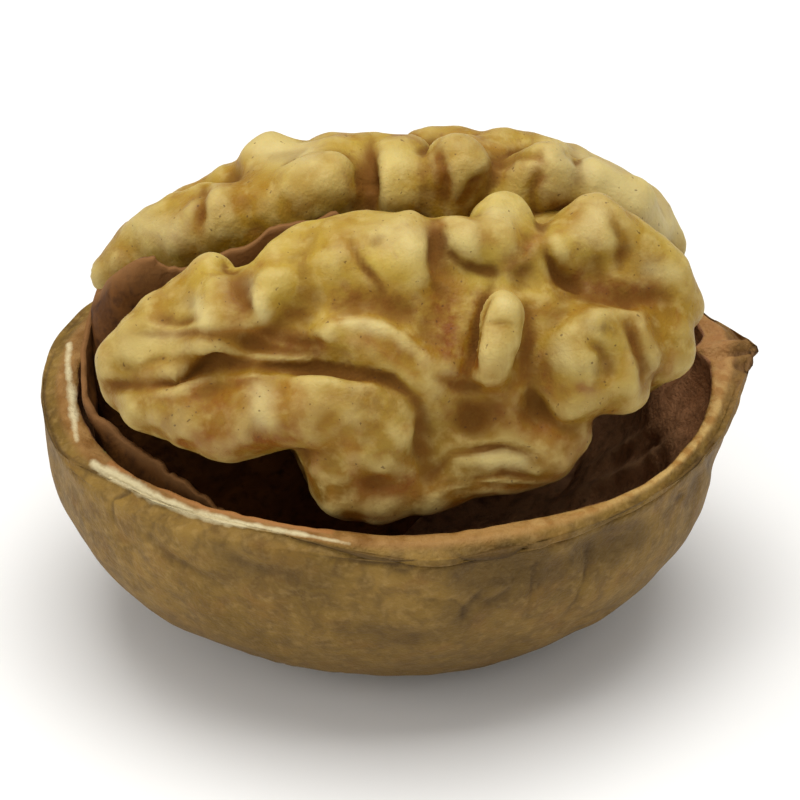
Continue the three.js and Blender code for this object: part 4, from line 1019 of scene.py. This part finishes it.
def paper(stations, columns, rows, tear, flare, seed):
    """A closed thin sheet. Its middle stands on the smooth line, leaning in with the nut's inside, and its two
    faces lie half a thickness to either side. Over its upper three millimetres it leans in by the flare, whose
    values are at even steps along the sheet."""
    line = through(stations, columns)
    along = np.gradient(line[:, :2], axis=0)
    along /= np.linalg.norm(along, axis=1, keepdims=True)
    across = np.stack([-along[:, 1], along[:, 0]], 1)
    ground = np.concatenate([line[:, :2], np.zeros((columns, 1))], 1)
    top = line[:, 2] + tear * (noise(ground, 1.3, seed) + 0.6 * noise(ground, 0.45, seed + 1))
    up = np.linspace(0, 1, rows)
    z = line[:, 3, None] + (top - line[:, 3])[:, None] * up
    lean = narrowing(z, CAVITY_DEPTH)
    middle = np.stack([line[:, 0, None] * lean, line[:, 1, None] * lean, z], -1)
    flat = middle.reshape(-1, 3)
    shift = CRUMPLE * (noise(flat, 2.2, seed + 2) + 0.5 * noise(flat, 0.9, seed + 3))
    leaning = np.interp(np.linspace(0, 1, columns), np.linspace(0, 1, len(flare)), flare)[:, None]
    shift = shift.reshape(z.shape) + leaning * (smoothstep(z, top[:, None] - 3, top[:, None]) - 0.3)
    faces_out = []
    for side in (0.5, -0.5):
        place = middle.copy()
        place[..., :2] += (shift + side * SHEET)[..., None] * across[:, None]
        faces_out.append(place)
    loop = np.concatenate([faces_out[0], faces_out[1][:, ::-1]], 1)
    number = np.arange(loop.shape[0] * loop.shape[1]).reshape(loop.shape[:2])
    after = np.roll(number, -1, axis=1)
    sides = np.stack([number[:-1], number[1:], after[1:], after[:-1]], -1).reshape(-1, 4)
    half = loop.shape[1] // 2
    first, last = (
        np.stack([n[:half - 1], n[1:half], n[::-1][1:half], n[::-1][:half - 1]], 1) for n in (number[0], number[-1])
    )
    height = np.concatenate([up, up[::-1]])[None].repeat(columns, 0)
    return loop.reshape(-1, 3), np.concatenate([sides, first, last[:, ::-1]]), height.ravel()


septum_points, septum_faces, septum_up = paper(SEPTUM - [0, 0, 0.35, 0], 240, 70, 0.28, [0, 0], 11)
lining_points, lining_faces, lining_up = paper(LINING, 180, 44, 0.3, [0, -0.6, -0.8, 0.5, 1.5, 1.1, 0.3], 21)
partition = add_piece(
    "partition_sheet",
    np.concatenate([septum_points, lining_points]),
    np.concatenate([septum_faces, lining_faces + len(septum_points)]),
    {"up": np.concatenate([septum_up, lining_up])},
    replaces="partition",
)

# %% [markdown]
# ## Finishes
# A finish is a small network of nodes. One function adds a node: it takes settings, and for each input either
# a value or the output of another node. A nut's colours are many thin stains over one another, with painted shade
# and painted highlights among them, so a finish is written as a list of layers. Each layer says where it covers,
# how much, and in what colour. Where is a value that the mesh carries, such as how deep in a crease a point lies,
# or a noise with lumps of so many mm.


# %% Nodes and layers
def linear(colour):
    """An sRGB hex colour as linear red, green, blue and alpha: ((c + 0.055) / 1.055)^2.4 for all but the darkest."""
    c = np.array([int(colour[i:i + 2], 16) for i in (1, 3, 5)]) / 255
    return (*np.where(c > 0.04045, ((c + 0.055) / 1.055) ** 2.4, c / 12.92), 1)


def new_finish(name):
    """An empty material and its tree of nodes."""
    material = bpy.data.materials.new(name)
    material.use_nodes = True
    material.node_tree.nodes.clear()
    return material, material.node_tree


def add(tree, kind, inputs=None, **settings):
    """A node of that kind with its settings. Inputs maps a name or number to a value, or to an output to link."""
    made = tree.nodes.new("ShaderNode" + kind)
    for key, value in settings.items():
        setattr(made, key, value)
    for key, value in (inputs or {}).items():
        if isinstance(value, bpy.types.NodeSocket):
            tree.links.new(value, made.inputs[key])
        else:
            made.inputs[key].default_value = value
    return made


def cover(tree, where, low, high, most, least=0.0):
    """How much a layer covers: the least where a value is low, the most where it is high, a straight line between.
    Where is an output, the name of a value that the points carry, or a noise's lump size in mm, detail and
    distortion. A noise of scale s has lumps of 1 / s metres."""
    if isinstance(where, str):
        where = add(tree, "Attribute", attribute_name=where).outputs["Fac"]
    elif isinstance(where, tuple):
        size, detail, distortion = where
        place = add(tree, "TexCoord").outputs["Object"]
        inputs = {"Vector": place, "Scale": 1 / (size * MM), "Detail": detail, "Distortion": distortion}
        where = add(tree, "TexNoise", inputs).outputs["Fac"]
    return add(tree, "MapRange", {0: where, 1: low, 2: high, 3: least, 4: most}).outputs[0]


def painted(tree, colour, layers):
    """A colour with the layers laid over it in turn: colour + cover * (the layer's colour - colour)."""
    colour = linear(colour) if isinstance(colour, str) else colour
    for where, low, high, most, over in layers:
        over = linear(over) if isinstance(over, str) else over
        inputs = {0: cover(tree, where, low, high, most), 6: colour, 7: over}
        colour = add(tree, "Mix", inputs, data_type="RGBA").outputs[2]
    return colour


print("straw", np.round(linear("#b5983c"), 3))

# %% [markdown]
# ### The kernel's skin
# The seed's thin skin is dry and a little waxy, pale straw and ochre to brown, with pinkish brown patches and tiny
# dark specks; painted shade makes it darker in the creases and painted highlight paler on the swellings. It dried
# on the nut, so it has a soft sheen that is lost in the creases. What lies under it is oily, so light soaks in
# slightly: that is the small subsurface weight. The painted shade in the creases comes from the values that the
# mesh carries, and the rest from noise at the sizes seen on the nut.

# %% Kernel skin
skin, tree = new_finish("walnut_kernel_skin")
mottling = cover(tree, (0.6, 5, 0), 0.35, 0.62, 1.3, 0.45)
# The brown stains with their painted shade, and the grey painted shade, broken up by the mottling.
brown, grey = (
    add(tree, "Math", {0: cover(tree, name, 0, 1, 1), 1: mottling}, operation="MULTIPLY").outputs[0]
    for name in ("brown", "grey")
)
# A thin vein runs where a noise is just halfway between its lowest and its highest.
halfway = add(tree, "Math", {0: cover(tree, (3.4, 2, 0.8), 0, 1, 1), 1: 0.5}, operation="PINGPONG").outputs[0]
veins = {0: cover(tree, halfway, 0.48, 0.5, 1), 1: cover(tree, (2.1, 2, 0), 0.45, 0.6, 1)}
veins = add(tree, "Math", veins, operation="MULTIPLY").outputs[0]
base = painted(tree, "#99731a", [
    ((5, 3, 0), 0.35, 0.65, 1, "#b5983c"),  # ochre and straw in broad patches
    ("low", 0, 1, 1, "#6a4306"),  # browner towards the bottom, partly painted shade
    ((2.6, 5, 0.4), 0.48, 0.72, 0.8, "#93651a"),
    ((1.2, 5, 0.6), 0.58, 0.72, 0.5, "#82551b"),
    ((0.9, 5, 0), 0.50, 0.70, 0.4, "#c8b06c"),
    (brown, 0, 1, 1, "#7d470c"),  # the brown stains, and the painted shade under folds, that were drawn
    # grey painted shade in the shadows of folds
    (grey, 0, 1, 1, "#705322"),
    ("pink", 0, 1, 0.7, "#98622c"),
    # painted highlights on the swellings
    ("pale", 0, 1, 0.8, "#d2c28a"),
    ("hollow", 0.05, 0.8, 0.75, "#6e430e"),  # painted shade in creases and painted highlight on what stands out
    ("crease", 0, 1, 0.5, "#6c3f0e"),
    ("hollow", -0.1, -0.9, 0.4, "#ccb874"),
    # painted shade in the valleys between folds and painted highlight on the folds
    ("valley", 0.0, 0.9, 0.6, "#623c08"),
    ("valley", -0.2, -0.9, 0.3, "#cdb975"),
    (veins, 0, 1, 0.12, "#7c4a1a"),
    ((0.3, 1, 0), 0.73, 0.76, 0.6, "#4c3016"),  # specks
])
dull = {0: cover(tree, (0.9, 3, 0), 0.2, 0.8, 0.58, 0.40), 1: cover(tree, "hollow", 0, 0.6, 0.35)}
pits = {0: cover(tree, (0.5, 4, 0), 0, 1, 1), 1: cover(tree, (0.18, 2, 0), 0, 1, 0.5)}
roughness, height = (add(tree, "Math", inputs, operation="ADD").outputs[0] for inputs in (dull, pits))
bump = add(tree, "Bump", {"Height": height, "Distance": 0.1 * MM, "Strength": 0.8}).outputs[0]
shader = add(tree, "BsdfPrincipled", {
    "Base Color": base, "Roughness": roughness, "Normal": bump, "IOR": 1.46, "Specular IOR Level": 0.2,
    "Subsurface Weight": 0.12, "Subsurface Radius": (1.0, 0.6, 0.25), "Subsurface Scale": 1.2 * MM,
})
add(tree, "OutputMaterial", {"Surface": shader.outputs[0]})
kernel.data.materials.append(skin)
print(skin.name, len(tree.nodes), "nodes")

# %% [markdown]
# ### The shell
# Hard dry wood. Outside it is weathered tan, dull and a little rough; painted shade darkens it in its dents and
# towards the bottom. Inside it has a brown lining, made paler further down by painted fill light and paler on its
# ridges by painted highlight. The broken rim shows the pale wood of the wall. At the chip it is nearly white, with
# an orange brown band along its upper edge. The stripes that were drawn would end too neatly, so a noise is added
# to their values before they are turned into cover, which frays their edges.

# %% Shell wood
wood, tree = new_finish("walnut_shell_wood")
ragged = cover(tree, (0.6, 5, 0), 0, 1, 0.45, -0.45)
frayed = {
    name: add(tree, "Math", {0: cover(tree, name, 0, 1, 1), 1: ragged}, operation="ADD").outputs[0]
    for name in ("inside", "orange", "cream", "green")
}
weathered_and_shaded = painted(tree, "#8c6c2d", [
    ((6, 4, 0), 0.35, 0.68, 1, "#6f5315"),
    ((2.2, 6, 0.8), 0.5, 0.72, 1, "#7d5a20"),
    ((1.0, 6, 0.5), 0.42, 0.65, 0.55, "#553c12"),
    ((0.5, 5, 0), 0.5, 0.7, 0.4, "#a5854a"),
    # painted shade towards the bottom and in the dents; the marks are painted shade in the drawn dents, with the
    # drawn stains
    ("low", 0, 1, 0.6, "#513a0e"),
    ("hollow", 0.1, 0.9, 0.7, "#442e0c"),
    ("mark", 0, 1, 0.55, "#422d0c"),
    ("beak", 0, 1, 0.5, "#7c5430"),
])
broken_wood = painted(tree, "#98703a", [
    ((1.2, 5, 0), 0.4, 0.65, 1, "#7c531c"),
    ("fresh", 0, 1, 1, painted(tree, "#cda964", [((0.8, 5, 0), 0.4, 0.6, 1, "#a87a38")])),
    ("beak", 0, 1, 0.6, "#966539"),
])
lined = painted(tree, "#7b4f2d", [
    ((3, 5, 0.8), 0.4, 0.7, 1, "#936642"),
    # paler further down the cavity: painted fill light where the lining lies in shade
    ("deep", 0, 1, 0.8, "#bd8b60"),
    ((0.7, 5, 0), 0.45, 0.75, 0.7, "#5d3b20"),
    # paler on the lining's ridges: painted highlight
    ("ridge", 0, 1.2, 0.72, "#b98d62"),
])
base = painted(tree, weathered_and_shaded, [
    ("rim", 0, 1, 1, broken_wood),
    (frayed["inside"], 0.45, 0.6, 1, lined),
    (frayed["orange"], 0.30, 0.75, 1, "#a5703a"),
    (frayed["cream"], 0.30, 0.85, 1, "#d0c094"),
    (frayed["green"], 0.4, 0.7, 1, "#7c7640"),
])
pores = {0: cover(tree, (0.8, 6, 0), 0, 1, 1), 1: cover(tree, (0.2, 3, 0), 0, 1, 0.35)}
height = add(tree, "Math", pores, operation="ADD").outputs[0]
bump = add(tree, "Bump", {"Height": height, "Distance": 0.2 * MM, "Strength": 0.9}).outputs[0]
shader = add(tree, "BsdfPrincipled", {
    "Base Color": base, "Roughness": 0.62, "Normal": bump, "IOR": 1.5, "Specular IOR Level": 0.25,
})
add(tree, "OutputMaterial", {"Surface": shader.outputs[0]})
shell.data.materials.append(wood)
print(wood.name, len(tree.nodes), "nodes")

# %% [markdown]
# ### The papery partition
# Thin dry plant tissue that tore by itself: reddish brown and dull, with darker flecks and paler torn edges.

# %% Papery tissue
tissue, tree = new_finish("papery_walnut_tissue")
base = painted(tree, "#4a2a0c", [
    ((2.5, 5, 1.0), 0.35, 0.7, 1, "#6b4219"),
    ((0.6, 5, 0), 0.5, 0.8, 1, "#2e1606"),
    ("up", 0.86, 0.98, 0.8, "#8a6036"),
])
height = cover(tree, (0.5, 5, 0.5), 0, 1, 1)
bump = add(tree, "Bump", {"Height": height, "Distance": 0.12 * MM, "Strength": 0.8}).outputs[0]
shader = add(tree, "BsdfPrincipled", {
    "Base Color": base, "Roughness": 0.75, "Normal": bump, "IOR": 1.5, "Specular IOR Level": 0.15,
})
add(tree, "OutputMaterial", {"Surface": shader.outputs[0]})
partition.data.materials.append(tissue)
print(tissue.name, len(tree.nodes), "nodes")

# %% [markdown]
# ## Floor and light
# The photo was taken as in a light tent: light comes from all round, most of it from above, and the shadows are
# soft. So there is a white floor, an even white sky, a large lamp straight above, and two weaker ones: one in
# front, which lights the near sides of the folds, and one at the left, which gives them their shape.

# %% Floor and light
FLOOR_HALF = 2  # metres
SKY = 0.42


def add_lamp(name, place, size, power):
    """A square area lamp of that size in metres, turned so that it shines at the walnut's middle."""
    lamp = bpy.data.objects.new(name, bpy.data.lights.new(name, "AREA"))
    lamp.data.size, lamp.data.energy = size, power
    lamp.location = place
    lamp.rotation_euler = (Vector((0, 0, 0.01)) - Vector(place)).to_track_quat("-Z", "Y").to_euler()
    bpy.context.collection.objects.link(lamp)
    return lamp


floor_mesh = bpy.data.meshes.new("floor")
floor_corners = [(x * FLOOR_HALF, y * FLOOR_HALF, 0) for x, y in [(-1, -1), (1, -1), (1, 1), (-1, 1)]]
floor_mesh.from_pydata(floor_corners, [], [(0, 1, 2, 3)])
floor = bpy.data.objects.new("floor", floor_mesh)
bpy.context.collection.objects.link(floor)
paint, tree = new_finish("white_floor_paint")
shader = add(tree, "BsdfPrincipled", {"Base Color": linear("#f4f3f0"), "Roughness": 0.9})
add(tree, "OutputMaterial", {"Surface": shader.outputs[0]})
floor_mesh.materials.append(paint)

world = bpy.data.worlds.new("studio")
world.use_nodes = True
world.node_tree.nodes["Background"].inputs[0].default_value = (1, 1, 1, 1)
world.node_tree.nodes["Background"].inputs[1].default_value = SKY
bpy.context.scene.world = world
lamps = [
    add_lamp("above", (0.0, 0.02, 0.36), 0.30, 1.2),
    add_lamp("front", (0.04, -0.30, 0.22), 0.20, 0.14),
    add_lamp("left", (-0.34, -0.06, 0.14), 0.20, 0.35),
]
bpy.context.scene.view_settings.view_transform = "Standard"
print("lamps:", ", ".join(f"{lamp.name} {lamp.data.energy:.2f} W" for lamp in lamps))
